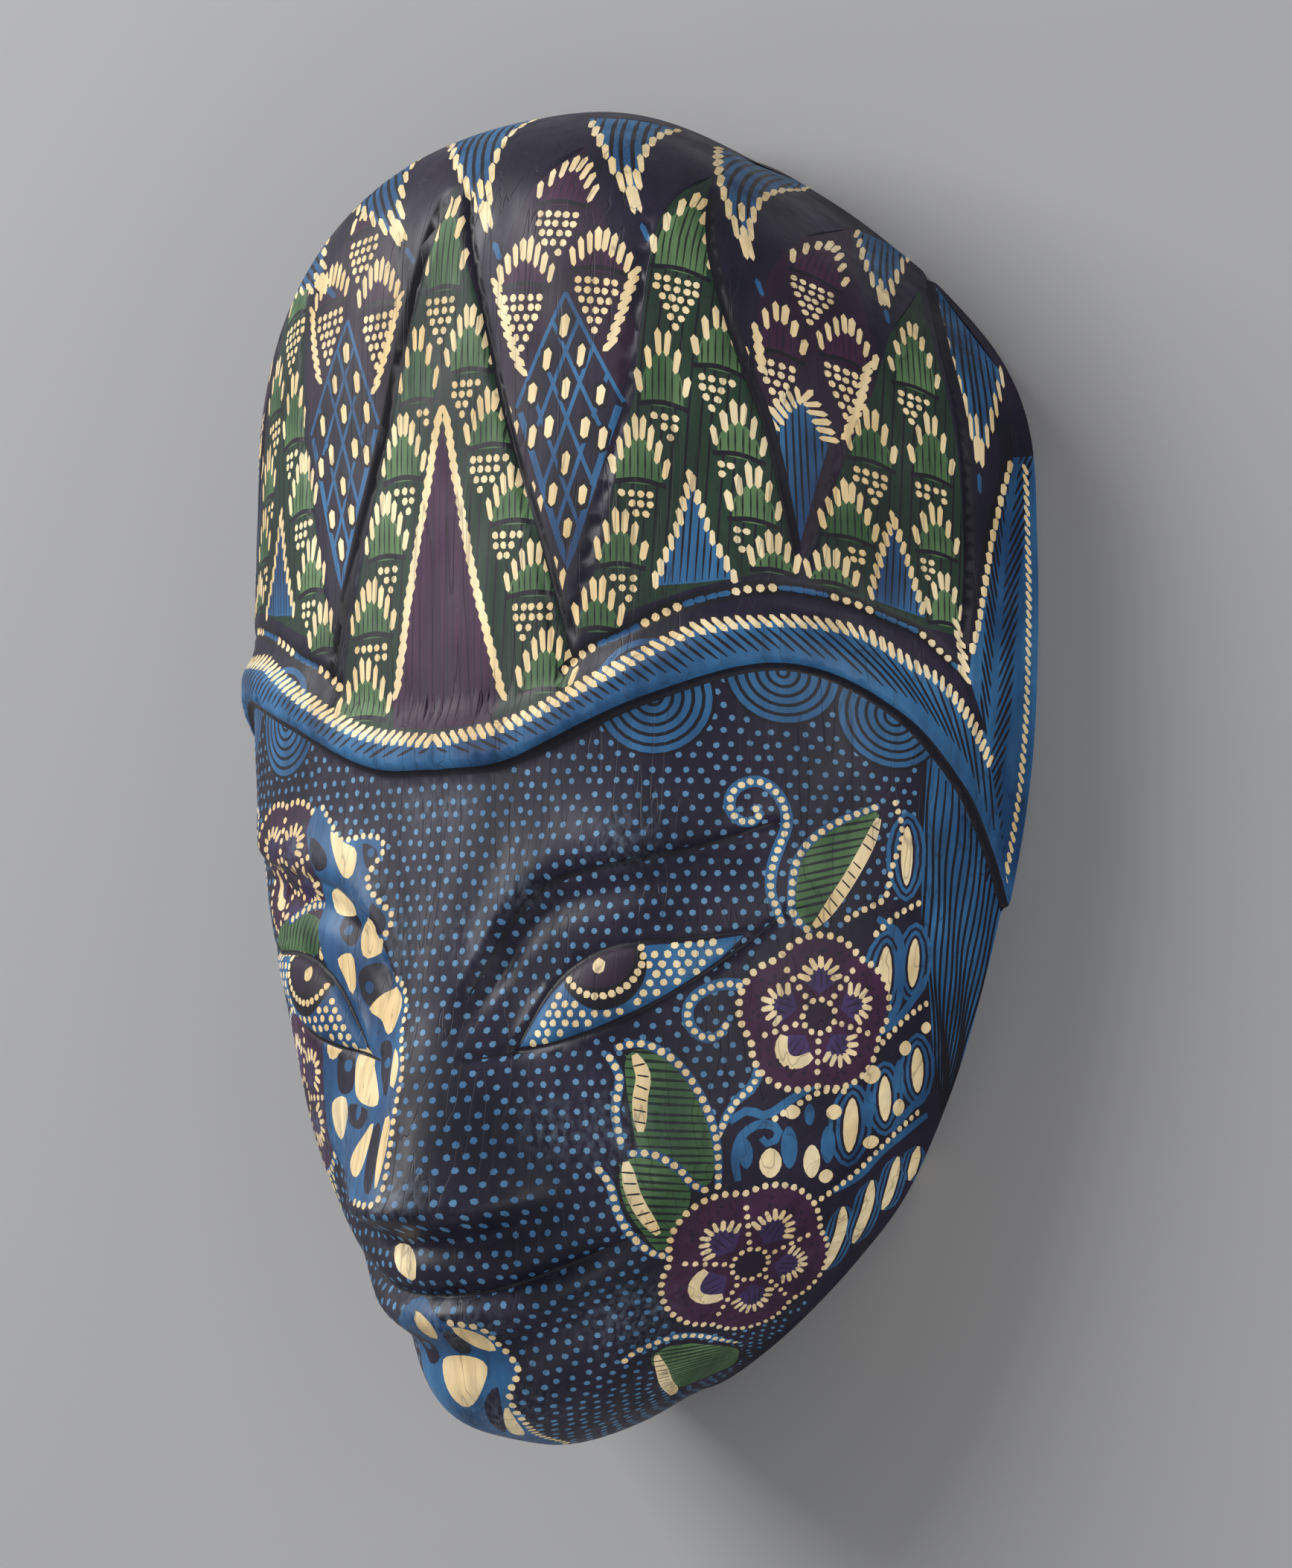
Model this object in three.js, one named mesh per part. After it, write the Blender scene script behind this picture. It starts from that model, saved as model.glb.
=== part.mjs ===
// A carved wooden face mask with a tall headdress, lying on its flat back edge.
//
// Millimetres, +Z up. The face looks along +Z, the crown points along +Y, and the wearer's left
// side is +X. The origin is the middle of the bounding box at the level of the back edge.
//
// The front is one lofted skin. Each station of the loft is a curve that runs from the back edge
// on one side, over the centre line, to the back edge on the other. A point on the skin is named
// by two lengths in millimetres: p, along the station's curve from the centre line, and q, along
// the centre line from the middle of the brow band. The carving is a height above that skin.

import * as THREE from 'three';
import { mergeVertices } from 'three/addons/utils/BufferGeometryUtils.js';

// ---- Driving dimensions -------------------------------------------------------------------

const WIDTH = 185;              // across the temples, at the back edge, before the carving
const WALL_SIDE = 11;           // thickness of the wall at the temples
const WALL_TOP = 11;            // thickness at the crown and the chin
const WALL_FRONT = 12;          // thickness behind the forehead
const CENTRE_Y = 2.22;          // the loft's y at the middle of the mask's length

const BAND_RISE = 2.8;          // how far the brow band swells above the forehead
const TEMPLE_STEP = 1.8;        // step from the headdress down to the hair at the temples
const HAIR_DROP = 1.2;          // how far the hair there lies below the skin
const NOSE_HEIGHT = 14.5;
const EYE_RISE = 2.2;

const PAINT = { color: 0x2a3350, roughness: 0.55, metalness: 0.0 };

// Stations of the loft, crown to chin: y and z of the crest on the centre line, x and y of the
// back edge as shares of the half width, and how square the section is (2 is an ellipse).
const HALF = WIDTH / 2;
const STATIONS = [
  { crest: [139.5, 0.0], edge: [0.0, 139.5], square: 2.2 },
  { crest: [143.0, 18.0], edge: [0.216 * HALF, 136.0], square: 2.3 },
  { crest: [143.2, 37.0], edge: [0.4 * HALF, 127.0], square: 2.4 },
  { crest: [138.5, 55.0], edge: [0.584 * HALF, 115.4], square: 2.6 },
  { crest: [130.0, 69.0], edge: [0.757 * HALF, 101.5], square: 2.6 },
  { crest: [116.0, 77.5], edge: [0.908 * HALF, 86.0], square: 2.5 },
  { crest: [95.0, 80.0], edge: [0.984 * HALF, 70.0], square: 2.5 },
  { crest: [68.0, 80.5], edge: [HALF, 48.0], square: 2.5 },
  { crest: [38.0, 80.5], edge: [HALF, 26.0], square: 2.55 },
  { crest: [8.0, 80.5], edge: [0.984 * HALF, 3.0], square: 2.6 },
  { crest: [-20.0, 81.5], edge: [0.941 * HALF, -19.0], square: 2.55 },
  { crest: [-48.0, 82.0], edge: [0.865 * HALF, -44.0], square: 2.45 },
  { crest: [-74.0, 82.5], edge: [0.773 * HALF, -66.5], square: 2.2 },
  { crest: [-98.0, 80.5], edge: [0.649 * HALF, -87.0], square: 2.05 },
  { crest: [-117.0, 76.0], edge: [0.492 * HALF, -101.5], square: 2 },
  { crest: [-132.0, 67.0], edge: [0.341 * HALF, -113.5], square: 2 },
  { crest: [-139.0, 46.0], edge: [0.211 * HALF, -122.0], square: 2 },
  { crest: [-136.5, 22.0], edge: [0.103 * HALF, -127.5], square: 2 },
  { crest: [-130.0, 0.0], edge: [0.0, -130.0], square: 2 },
];
const FRONT_DEPTH = 80.5;       // z of the skin at the forehead
const CREST_BLEND = 1.6;        // how fast a section leaves the crest's y for the edge's y

// Carved lines, as [p, q] on the wearer's left half. The right half mirrors them.
const BAND_LOW = [[0, 0], [20, 1.5], [50, 14], [78, 23], [100, 16], [118, 0], [128, -15], [137, -31]];
const BROW = [[9, -47], [15, -37], [22, -28.5], [31, -23], [46, -20], [61, -17], [76, -12]];
const MOUTH = [[0, -107], [15, -106], [30, -102.5], [44, -98]];
const EYE_CENTRE = [42, -46];
const EYE_HALF = [25, 9];
const EYE_TILT = THREE.MathUtils.degToRad(23);
const NOSE_TOP = -6;
const NOSE_TIP = -90;
const NOSE_LIFT = 0.0055;       // the nose's lower edge rises by this times p squared
const NOSE_WIDTH = [9, 36];     // half widths at the bridge and at the nostrils
const NOSE_SWELL = 1.6;         // how late the nose rises on its way down
const NOSE_SHARPNESS = 2.2;     // how narrow its ridge is

// Ridges and hollows beside a carved line: height, distance above the line, half width.
const BROW_RIDGES = [[2.2, 3, 9], [-3.0, -4, 4.5]];
const LIP_RIDGES = [[1.6, 6, 4.5], [2.0, -5, 4], [-1.8, 0, 2.8], [-1.6, -13, 5]];

// Where the brow, the mouth and the temple step begin and end, as |p|.
const BROW_START = [6, 16];
const BROW_END = [62, 82];
const MOUTH_END = [18, 50];
const TEMPLE = [95, 120];

// Soft swells and hollows: height, |p| and q of the middle, half widths along p and q.
const SWELLS = [
  [4.5, 0, -105, 22, 16],     // the mouth as a whole
  [2.6, 0, -132, 24, 12],     // the chin
  [2.4, 44, -78, 22, 22],     // the cheekbones
  [-1.6, 18, -46, 12, 14],    // between the eyes and the nose
];

// Mesh density: lengths between grid lines near the face and away from it.
const FINE = 4.3;
const COARSE = 9.5;
const INNER_COLUMNS = 16;

// ---- Small maths --------------------------------------------------------------------------

const { clamp, lerp } = THREE.MathUtils;
const smoothstep = (from, to, x) => THREE.MathUtils.smoothstep(x, from, to);
const bump = (x, width) => Math.exp(-((x / width) ** 2));

// Catmull-Rom through rows of numbers, straight on past the ends.
function spline(rows, t) {
  const last = rows.length - 1;
  const i = clamp(Math.floor(t), 0, last - 1);
  const f = t - i;
  const before = i > 0 ? rows[i - 1] : rows[0].map((v, k) => 2 * v - rows[1][k]);
  const after = i + 2 <= last ? rows[i + 2] : rows[last].map((v, k) => 2 * v - rows[last - 1][k]);
  return rows[i].map((b, k) => {
    const a = before[k];
    const c = rows[i + 1][k];
    const d = after[k];
    return 0.5 * (2 * b + (c - a) * f + (2 * a - 5 * b + 4 * c - d) * f * f
      + (3 * b - a - 3 * c + d) * f ** 3);
  });
}

// q of a carved line at |p|.
function heightAt(line, p) {
  const x = Math.abs(p);
  let i = 0;
  while (i < line.length - 2 && x > line[i + 1][0]) i += 1;
  const t = i + (x - line[i][0]) / (line[i + 1][0] - line[i][0]);
  return spline(line, clamp(t, 0, line.length - 1))[1];
}

// ---- The skin -----------------------------------------------------------------------------

const TABLE = STATIONS.map((s) => [...s.crest, ...s.edge, s.square]);

function stationPoint(t, angle) {
  const [crestY, crestZ, edgeX, edgeY, square] = spline(TABLE, t);
  const power = 2 / square;
  const side = Math.sin(angle);
  const front = Math.max(Math.cos(angle), 0);
  const blend = front ** CREST_BLEND;
  return new THREE.Vector3(
    edgeX * Math.sign(side) * Math.abs(side) ** power,
    crestY * blend + edgeY * (1 - blend),
    crestZ * front ** power,
  );
}

// Pairs of [length along the centre line, station], and where q is zero.
const CREST_STEPS = 1200;
const crest = [];
for (let k = 0, length = 0, previous = null; k <= CREST_STEPS; k += 1) {
  const t = (k / CREST_STEPS) * (TABLE.length - 1);
  const point = stationPoint(t, 0);
  if (previous) length += point.distanceTo(previous);
  crest.push({ t, length, y: point.y });
  previous = point;
}
const zero = crest.find((c) => c.y <= 0).length;
const Q_TOP = zero;
const Q_BOTTOM = zero - crest[CREST_STEPS].length;

function stationAt(q) {
  const length = clamp(zero - q, 0, crest[CREST_STEPS].length);
  const k = Math.max(crest.findIndex((c) => c.length >= length), 1);
  const share = (length - crest[k - 1].length) / (crest[k].length - crest[k - 1].length);
  return lerp(crest[k - 1].t, crest[k].t, share);
}

// One station's half curve, from the centre line to the back edge.
const ARC_STEPS = 240;
function halfCurve(q) {
  const t = stationAt(q);
  const points = [];
  for (let k = 0; k <= ARC_STEPS; k += 1) points.push(stationPoint(t, (k / ARC_STEPS) * Math.PI / 2));
  const lengths = [0];
  for (let k = 1; k <= ARC_STEPS; k += 1) lengths.push(lengths[k - 1] + points[k].distanceTo(points[k - 1]));
  return { points, lengths, length: lengths[ARC_STEPS] };
}

function onCurve(curve, p) {
  const x = Math.min(Math.abs(p), curve.length);
  let k = 1;
  while (k < ARC_STEPS && curve.lengths[k] < x) k += 1;
  const span = Math.max(curve.lengths[k] - curve.lengths[k - 1], 1e-9);
  const point = curve.points[k - 1].clone().lerp(curve.points[k], (x - curve.lengths[k - 1]) / span);
  if (p < 0) point.x = -point.x;
  return point;
}

// ---- The carving --------------------------------------------------------------------------

const ridges = (rows, above) => rows.reduce(
  (sum, [height, offset, width]) => sum + height * bump(above - offset, width), 0);

function nose(p, q) {
  const down = clamp((NOSE_TOP - q) / (NOSE_TOP - NOSE_TIP), 0, 1);
  const underside = smoothstep(-1.5, 7.5, NOSE_TIP + NOSE_LIFT * p * p - q);
  const across = clamp(Math.abs(p) / lerp(...NOSE_WIDTH, down), 0, 1);
  const profile = NOSE_HEIGHT * down ** NOSE_SWELL * (1 - underside);
  return profile * (1 - across * across) ** NOSE_SHARPNESS;
}

// The band swells above the forehead, and at the temples the headdress steps down to the hair.
function band(p, q) {
  const above = q - heightAt(BAND_LOW, p);
  const swell = BAND_RISE * smoothstep(-2.5, 3.5, above) * (1 - smoothstep(6, 15, above));
  const step = TEMPLE_STEP * smoothstep(-3, 3, above) - HAIR_DROP;
  return lerp(swell, step, smoothstep(...TEMPLE, Math.abs(p)));
}

function brow(p, q) {
  const x = Math.abs(p);
  const reach = smoothstep(...BROW_START, x) * (1 - smoothstep(...BROW_END, x));
  return reach * ridges(BROW_RIDGES, q - heightAt(BROW, p));
}

function eye(p, q) {
  const dx = Math.abs(p) - EYE_CENTRE[0];
  const dy = q - EYE_CENTRE[1];
  const along = (dx * Math.cos(EYE_TILT) + dy * Math.sin(EYE_TILT)) / EYE_HALF[0];
  const across = (dy * Math.cos(EYE_TILT) - dx * Math.sin(EYE_TILT)) / EYE_HALF[1];
  return EYE_RISE * Math.max(0, 1 - along * along - across * across);
}

function mouth(p, q) {
  const reach = 1 - smoothstep(...MOUTH_END, Math.abs(p));
  return reach * ridges(LIP_RIDGES, q - heightAt(MOUTH, p));
}

const swells = (p, q) => SWELLS.reduce((sum, [height, x, y, wide, tall]) => (
  sum + height * bump(Math.abs(p) - x, wide) * bump(q - y, tall)), 0);

const FORMS = [nose, band, brow, eye, mouth, swells];
const carving = (p, q) => FORMS.reduce((sum, form) => sum + form(p, q), 0);

// ---- Grid lines ---------------------------------------------------------------------------

// Lengths from one end to the other, close together inside [near, far] and wide apart outside.
function gridLines(from, to, near, far) {
  const lines = [];
  const stretch = (a, b, step) => {
    const count = Math.ceil((b - a) / step);
    for (let k = 0; k < count; k += 1) lines.push(lerp(a, b, k / count));
  };
  stretch(from, near, COARSE);
  stretch(near, far, FINE);
  stretch(far, to, COARSE);
  lines.push(to);
  return lines;
}

const FINE_ROWS = [-128, 44];
const FINE_COLUMNS = 56;
const ROWS = gridLines(Q_BOTTOM, Q_TOP, ...FINE_ROWS);
const WIDEST = 144;
const halfShares = gridLines(0, WIDEST, 0, FINE_COLUMNS).map((p) => p / WIDEST);
const COLUMNS = [...halfShares.slice(1).map((s) => -s).reverse(), ...halfShares];
const INNER_SHARES = Array.from({ length: INNER_COLUMNS + 1 }, (_, k) => (2 * k) / INNER_COLUMNS - 1);

// ---- Building the solid -------------------------------------------------------------------

const curves = ROWS.map(halfCurve);

function skinGrid(shares) {
  return curves.map((curve) => shares.map((share) => onCurve(curve, share * curve.length)));
}

// The skin raised by the carving, along its own normal.
function carvedGrid() {
  const grid = skinGrid(COLUMNS);
  const lastColumn = COLUMNS.length - 1;
  return grid.map((row, i) => row.map((point, j) => {
    if (i === 0 || i === grid.length - 1) return point;
    const along = row[Math.min(j + 1, lastColumn)].clone().sub(row[Math.max(j - 1, 0)]);
    const up = grid[i + 1][j].clone().sub(grid[i - 1][j]);
    const normal = along.cross(up).normalize();
    const raised = point.clone().addScaledVector(normal, carving(COLUMNS[j] * curves[i].length, ROWS[i]));
    if (j === 0 || j === lastColumn) raised.z = 0;
    return raised;
  }));
}

// The hollow is the plain skin drawn in, so that the wall is thick enough everywhere.
function hollowGrid() {
  const shrink = new THREE.Vector3(
    1 - WALL_SIDE / HALF,
    1 - WALL_TOP / STATIONS[0].crest[0],
    1 - WALL_FRONT / FRONT_DEPTH,
  );
  return skinGrid(INNER_SHARES).map((row, i) => row.map((point, j) => {
    const inner = point.clone().multiply(shrink);
    if (j === 0 || j === INNER_COLUMNS || i === 0 || i === ROWS.length - 1) inner.z = 0;
    return inner;
  }));
}

function quad(triangles, a, b, c, d) {
  triangles.push([a, b, c], [a, c, d]);
}

function gridTriangles(grid, inward) {
  const triangles = [];
  for (let i = 0; i < grid.length - 1; i += 1) {
    for (let j = 0; j < grid[i].length - 1; j += 1) {
      const corners = [grid[i][j], grid[i][j + 1], grid[i + 1][j + 1], grid[i + 1][j]];
      quad(triangles, ...(inward ? corners.reverse() : corners));
    }
  }
  return triangles;
}

// The flat back edge between the front's outline and the hollow's.
function edgeTriangles(front, hollow) {
  const triangles = [];
  const left = (grid, i) => grid[i][0];
  const right = (grid, i) => grid[i][grid[i].length - 1];
  for (let i = 0; i < front.length - 1; i += 1) {
    quad(triangles, left(front, i), left(front, i + 1), left(hollow, i + 1), left(hollow, i));
    quad(triangles, right(front, i), right(hollow, i), right(hollow, i + 1), right(front, i + 1));
  }
  return triangles;
}

function closedGeometry(triangles) {
  const apart = (a, b) => a.distanceTo(b) > 1e-6;
  const solid = triangles.filter(([a, b, c]) => apart(a, b) && apart(b, c) && apart(c, a));
  const positions = solid.flat().flatMap((v) => [v.x, v.y - CENTRE_Y, v.z]);
  const geometry = new THREE.BufferGeometry();
  geometry.setAttribute('position', new THREE.Float32BufferAttribute(positions, 3));
  const merged = mergeVertices(geometry, 1e-4);
  merged.computeVertexNormals();
  return merged;
}

function buildMask() {
  const front = carvedGrid();
  const hollow = hollowGrid();
  const triangles = [
    ...gridTriangles(front, false),
    ...gridTriangles(hollow, true),
    ...edgeTriangles(front, hollow),
  ];
  const mask = new THREE.Mesh(closedGeometry(triangles), new THREE.MeshStandardMaterial(PAINT));
  mask.name = 'mask';
  return mask;
}

const group = new THREE.Group();
group.add(buildMask());
export default group;
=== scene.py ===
"""The looks of a carved wooden mask: its fine carving and its wax-resist painted pattern.

Lengths in the carving and the painting are millimetres, and the finished mesh is in metres.

A point on the front has two lengths as its name: p, along the surface from the centre line
(positive on the wearer's left), and q, along the centre line from the brow band up to the crown
or down to the chin. Every carved and painted shape is drawn in (p, q).
"""
import math

import bpy
import numpy as np
from mathutils import Matrix, Vector
from mathutils.geometry import delaunay_2d_cdt


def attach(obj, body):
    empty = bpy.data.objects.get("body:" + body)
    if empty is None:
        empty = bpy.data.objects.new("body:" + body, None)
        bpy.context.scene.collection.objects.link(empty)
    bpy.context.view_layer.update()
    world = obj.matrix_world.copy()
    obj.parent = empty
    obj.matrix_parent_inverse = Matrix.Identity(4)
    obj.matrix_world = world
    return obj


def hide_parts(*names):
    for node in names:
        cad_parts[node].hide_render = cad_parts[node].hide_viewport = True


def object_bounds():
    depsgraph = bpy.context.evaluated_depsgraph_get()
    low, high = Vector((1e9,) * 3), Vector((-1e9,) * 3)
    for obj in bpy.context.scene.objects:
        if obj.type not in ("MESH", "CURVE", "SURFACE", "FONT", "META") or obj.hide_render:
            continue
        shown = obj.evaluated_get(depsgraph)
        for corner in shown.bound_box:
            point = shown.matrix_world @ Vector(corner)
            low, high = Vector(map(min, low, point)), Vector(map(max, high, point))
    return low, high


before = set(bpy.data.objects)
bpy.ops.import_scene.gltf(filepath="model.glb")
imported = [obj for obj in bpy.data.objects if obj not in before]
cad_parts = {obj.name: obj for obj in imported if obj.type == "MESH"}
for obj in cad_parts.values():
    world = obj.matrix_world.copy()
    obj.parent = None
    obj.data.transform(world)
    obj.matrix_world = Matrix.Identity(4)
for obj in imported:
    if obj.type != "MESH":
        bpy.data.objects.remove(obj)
CAD_LOW, CAD_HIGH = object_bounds()
RANDOM = np.random.default_rng(7)
MM = 0.001

# ---------------------------------------------------------------- the skin, as the CAD lofts it

WIDTH = 185.0
WALL_SIDE, WALL_TOP, WALL_FRONT = 11.0, 11.0, 12.0
DEPTH = 80.5
HALF = WIDTH / 2
# Crown to chin: y and z of the crest, x share and y of the back edge, squareness of the section.
STATIONS = np.array([
    [139.5, 0.0, 0.0, 139.5, 2.2],
    [143.0, 18.0, 0.216, 136.0, 2.3],
    [143.2, 37.0, 0.4, 127.0, 2.4],
    [138.5, 55.0, 0.584, 115.4, 2.6],
    [130.0, 69.0, 0.757, 101.5, 2.6],
    [116.0, 77.5, 0.908, 86.0, 2.5],
    [95.0, 80.0, 0.984, 70.0, 2.5],
    [68.0, 80.5, 1.0, 48.0, 2.5],
    [38.0, 80.5, 1.0, 26.0, 2.55],
    [8.0, 80.5, 0.984, 3.0, 2.6],
    [-20.0, 81.5, 0.941, -19.0, 2.55],
    [-48.0, 82.0, 0.865, -44.0, 2.45],
    [-74.0, 82.5, 0.773, -66.5, 2.2],
    [-98.0, 80.5, 0.649, -87.0, 2.05],
    [-117.0, 76.0, 0.492, -101.5, 2.0],
    [-132.0, 67.0, 0.341, -113.5, 2.0],
    [-139.0, 46.0, 0.211, -122.0, 2.0],
    [-136.5, 22.0, 0.103, -127.5, 2.0],
    [-130.0, 0.0, 0.0, -130.0, 2.0],
]) * [1, 1, HALF, 1, 1]
CREST_BLEND = 1.6
SKIN_COLUMNS = 201


def spline(rows, t):
    """Catmull-Rom through rows, straight on past the ends."""
    last = len(rows) - 1
    held = np.vstack([2 * rows[0] - rows[1], rows, 2 * rows[-1] - rows[-2]])
    i = np.clip(np.floor(t).astype(int), 0, last - 1)
    f = (t - i)[..., None]
    a, b, c, d = held[i], held[i + 1], held[i + 2], held[i + 3]
    cubic = (3 * b - a - 3 * c + d) * f ** 3
    return 0.5 * (2 * b + (c - a) * f + (2 * a - 5 * b + 4 * c - d) * f ** 2 + cubic)


def section(station, angle):
    """Points of a station's curve: angle 0 is the crest and a quarter turn the back edge."""
    crest_y, crest_z, edge_x, edge_y, square = np.moveaxis(station, -1, 0)
    front = np.cos(angle)
    blend = np.maximum(front, 0) ** CREST_BLEND
    x = edge_x * np.sin(angle) ** (2 / square)
    y = crest_y * blend + edge_y * (1 - blend)
    z = crest_z * np.maximum(front, 0) ** (2 / square)
    return np.stack([x, y, z], -1)


def build_skin():
    """Rows q, half lengths of the rows, and a grid of points evenly spaced along each row."""
    t = np.linspace(0, len(STATIONS) - 1, 3001)
    crest = spline(STATIONS, t)[:, :2]
    length = np.r_[0, np.cumsum(np.hypot(*np.diff(crest, axis=0).T))]
    q_of_t = np.interp(0, -crest[:, 0], length) - length
    q = np.linspace(q_of_t[-1], q_of_t[0], int(round(np.ptp(q_of_t))) + 1)
    stations = spline(STATIONS, np.interp(q, q_of_t[::-1], t[::-1]))
    curve = section(stations[:, None], np.linspace(0, np.pi / 2, 721)[None])
    steps = np.linalg.norm(np.diff(curve, axis=1), axis=-1)
    arc = np.concatenate([np.zeros((len(q), 1)), np.cumsum(steps, 1)], 1)
    half = np.empty((len(q), SKIN_COLUMNS // 2 + 1, 3))
    for i in range(len(q)):
        even = np.linspace(0, arc[i, -1], half.shape[1])
        for k in range(3):
            half[i, :, k] = np.interp(even, arc[i], curve[i, :, k])
    return q, arc[:, -1], np.concatenate([half[:, :0:-1] * [-1, 1, 1], half], 1)


ROW_Q, ROW_LENGTH, SKIN = build_skin()
Q_LOW, Q_HIGH = ROW_Q[0], ROW_Q[-1]


def half_length(q):
    return np.interp(q, ROW_Q, ROW_LENGTH)


def look_up(grid, p, q):
    """Bilinear value of a grid that has the skin's rows and columns."""
    row = np.clip((q - Q_LOW) / (Q_HIGH - Q_LOW), 0, 1) * (len(ROW_Q) - 1)
    share = np.clip(p / np.maximum(half_length(q), 1e-6), -1, 1)
    column = (share + 1) / 2 * (SKIN_COLUMNS - 1)
    i = np.minimum(row.astype(int), len(ROW_Q) - 2)
    j = np.minimum(column.astype(int), SKIN_COLUMNS - 2)
    f, g = (row - i)[..., None], (column - j)[..., None]
    low = grid[i, j] * (1 - g) + grid[i, j + 1] * g
    high = grid[i + 1, j] * (1 - g) + grid[i + 1, j + 1] * g
    return low * (1 - f) + high * f


def grid_normals(grid):
    along = np.gradient(grid, axis=1)
    up = np.gradient(grid, axis=0)
    normal = np.cross(along, up)
    size = np.linalg.norm(normal, axis=-1, keepdims=True)
    normal = np.where(size > 1e-9, normal / np.maximum(size, 1e-9), [0, 0, 1])
    normal[0] = normal[1]
    normal[-1] = normal[-2]
    return normal


SKIN_NORMAL = grid_normals(SKIN)

# ---------------------------------------------------------------- the carving

BAND_LOW = [[0, 0], [20, 1.5], [50, 14], [78, 23], [100, 16], [118, 0], [128, -15], [137, -31]]
BROW = [[9, -47], [15, -37], [22, -28.5], [31, -23], [46, -20], [61, -17], [76, -12]]
MOUTH = [[0, -107], [15, -106], [30, -102.5], [44, -98]]
EYE_CENTRE = (42, -46)
EYE_HALF = (25, 9)
EYE_TILT = math.radians(23)
NOSE_TOP, NOSE_TIP, NOSE_LIFT, NOSE_HEIGHT = -6.0, -90.0, 0.0055, 14.5
BRIDGE_HALF, NOSTRIL_HALF = 9.0, 36.0


def ease(start, end, x):
    t = np.clip((x - start) / (end - start), 0, 1)
    return t * t * (3 - 2 * t)


def bump(x, width):
    return np.exp(-((x / width) ** 2))


def height_at(line, p):
    """q of a carved line at |p|."""
    line = np.array(line, float)
    x = np.abs(p)
    i = np.clip(np.searchsorted(line[:, 0], x, side="right") - 1, 0, len(line) - 2)
    t = i + (x - line[i, 0]) / (line[i + 1, 0] - line[i, 0])
    return spline(line, np.clip(t, 0, len(line) - 1))[..., 1]


def nose(p, q):
    down = np.clip((NOSE_TOP - q) / (NOSE_TOP - NOSE_TIP), 0, 1)
    underside = ease(-1, 7, NOSE_TIP + NOSE_LIFT * p * p - q)
    half = BRIDGE_HALF + (NOSTRIL_HALF - BRIDGE_HALF) * down
    across = np.clip(np.abs(p) / half, 0, 1)
    return NOSE_HEIGHT * down ** 1.6 * (1 - underside) * (1 - across ** 2) ** 2.2


def band(p, q):
    """The brow band's swell, and the step down to the hair at the temples."""
    above = q - height_at(BAND_LOW, p)
    swell = 2.8 * ease(-1, 2, above) * (1 - ease(6, 14, above))
    step = 1.8 * ease(-1, 1.5, above) - 1.2
    temple = ease(95, 120, np.abs(p))
    return swell * (1 - temple) + step * temple


def brow(p, q):
    x = np.abs(p)
    reach = ease(6, 16, x) * (1 - ease(62, 82, x))
    above = q - height_at(BROW, p)
    return reach * (2.2 * bump(above - 3, 9) - 3.0 * bump(above + 4, 4.5))


def eye_axes(p, q):
    """Shares of the eye's half length and half height, along and across it."""
    dx, dy = np.abs(p) - EYE_CENTRE[0], q - EYE_CENTRE[1]
    along = (dx * math.cos(EYE_TILT) + dy * math.sin(EYE_TILT)) / EYE_HALF[0]
    across = (dy * math.cos(EYE_TILT) - dx * math.sin(EYE_TILT)) / EYE_HALF[1]
    return along, across


def eye(p, q):
    along, across = eye_axes(p, q)
    ball = 2.2 * np.maximum(0, 1 - along ** 2 - across ** 2)
    return ball - 1.6 * bump(np.abs(p) - 18, 12) * bump(q + 46, 14)


def mouth(p, q):
    reach = 1 - ease(18, 50, np.abs(p))
    above = q - height_at(MOUTH, p)
    lips = 1.6 * bump(above - 6, 4.5) + 2.0 * bump(above + 5, 4)
    return reach * (lips - 1.8 * bump(above, 2.4) - 1.6 * bump(above + 13, 5))


def fullness(p, q):
    """The mouth's swell, the chin and the cheekbones."""
    muzzle = 4.5 * bump(p, 22) * bump(q + 105, 16)
    chin = 2.6 * bump(p, 24) * bump(q + 132, 12)
    cheek = 2.4 * bump(np.abs(p) - 44, 22) * bump(q + 78, 22)
    return muzzle + chin + cheek


def groove(p, q, line, width, depth):
    """A gouge mark along an open line, as a height of zero or less."""
    height = np.zeros(len(p))
    reach = 2.5 * width
    near = ((p > line[:, 0].min() - reach) & (p < line[:, 0].max() + reach)
            & (q > line[:, 1].min() - reach) & (q < line[:, 1].max() + reach))
    if near.any():
        points = np.c_[p[near], q[near]]
        height[near] = -depth * bump(line_distance(points, line), width)
    return height


def line_distance(points, line):
    best = np.full(len(points), 1e9)
    for a, b in zip(line[:-1], line[1:]):
        along = b - a
        t = np.clip((points - a) @ along / max(along @ along, 1e-9), 0, 1)
        best = np.minimum(best, np.linalg.norm(points - a - t[:, None] * along, axis=1))
    return best


def relief(p, q):
    height = nose(p, q) + band(p, q) + brow(p, q) + eye(p, q) + mouth(p, q) + fullness(p, q)
    for line, width, depth in GROOVES:
        height += groove(p, q, line, width, depth)
    return height


def carved(p, q):
    """Points of the carved front."""
    p = np.clip(p, -half_length(q), half_length(q))
    normal = look_up(SKIN_NORMAL, p, q)
    point = look_up(SKIN, p, q) + normal * relief(p, q)[:, None]
    rim = np.abs(p) >= half_length(q) - 1e-3
    point[rim, 2] = 0
    return point


def carved_normals(p, q):
    """Normals of the carved front, from its slopes over a little more than half a millimetre."""
    reach = 0.35
    q_in = np.clip(q, Q_LOW + 1.5, Q_HIGH - 1.5)
    p_in = np.clip(p, -half_length(q_in) + 0.6, half_length(q_in) - 0.6)
    along = carved(p_in + reach, q_in) - carved(p_in - reach, q_in)
    up = carved(p_in, q_in + reach) - carved(p_in, q_in - reach)
    normal = np.cross(along, up)
    return normal / np.linalg.norm(normal, axis=1, keepdims=True)


# ---------------------------------------------------------------- drawing in the chart

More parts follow.
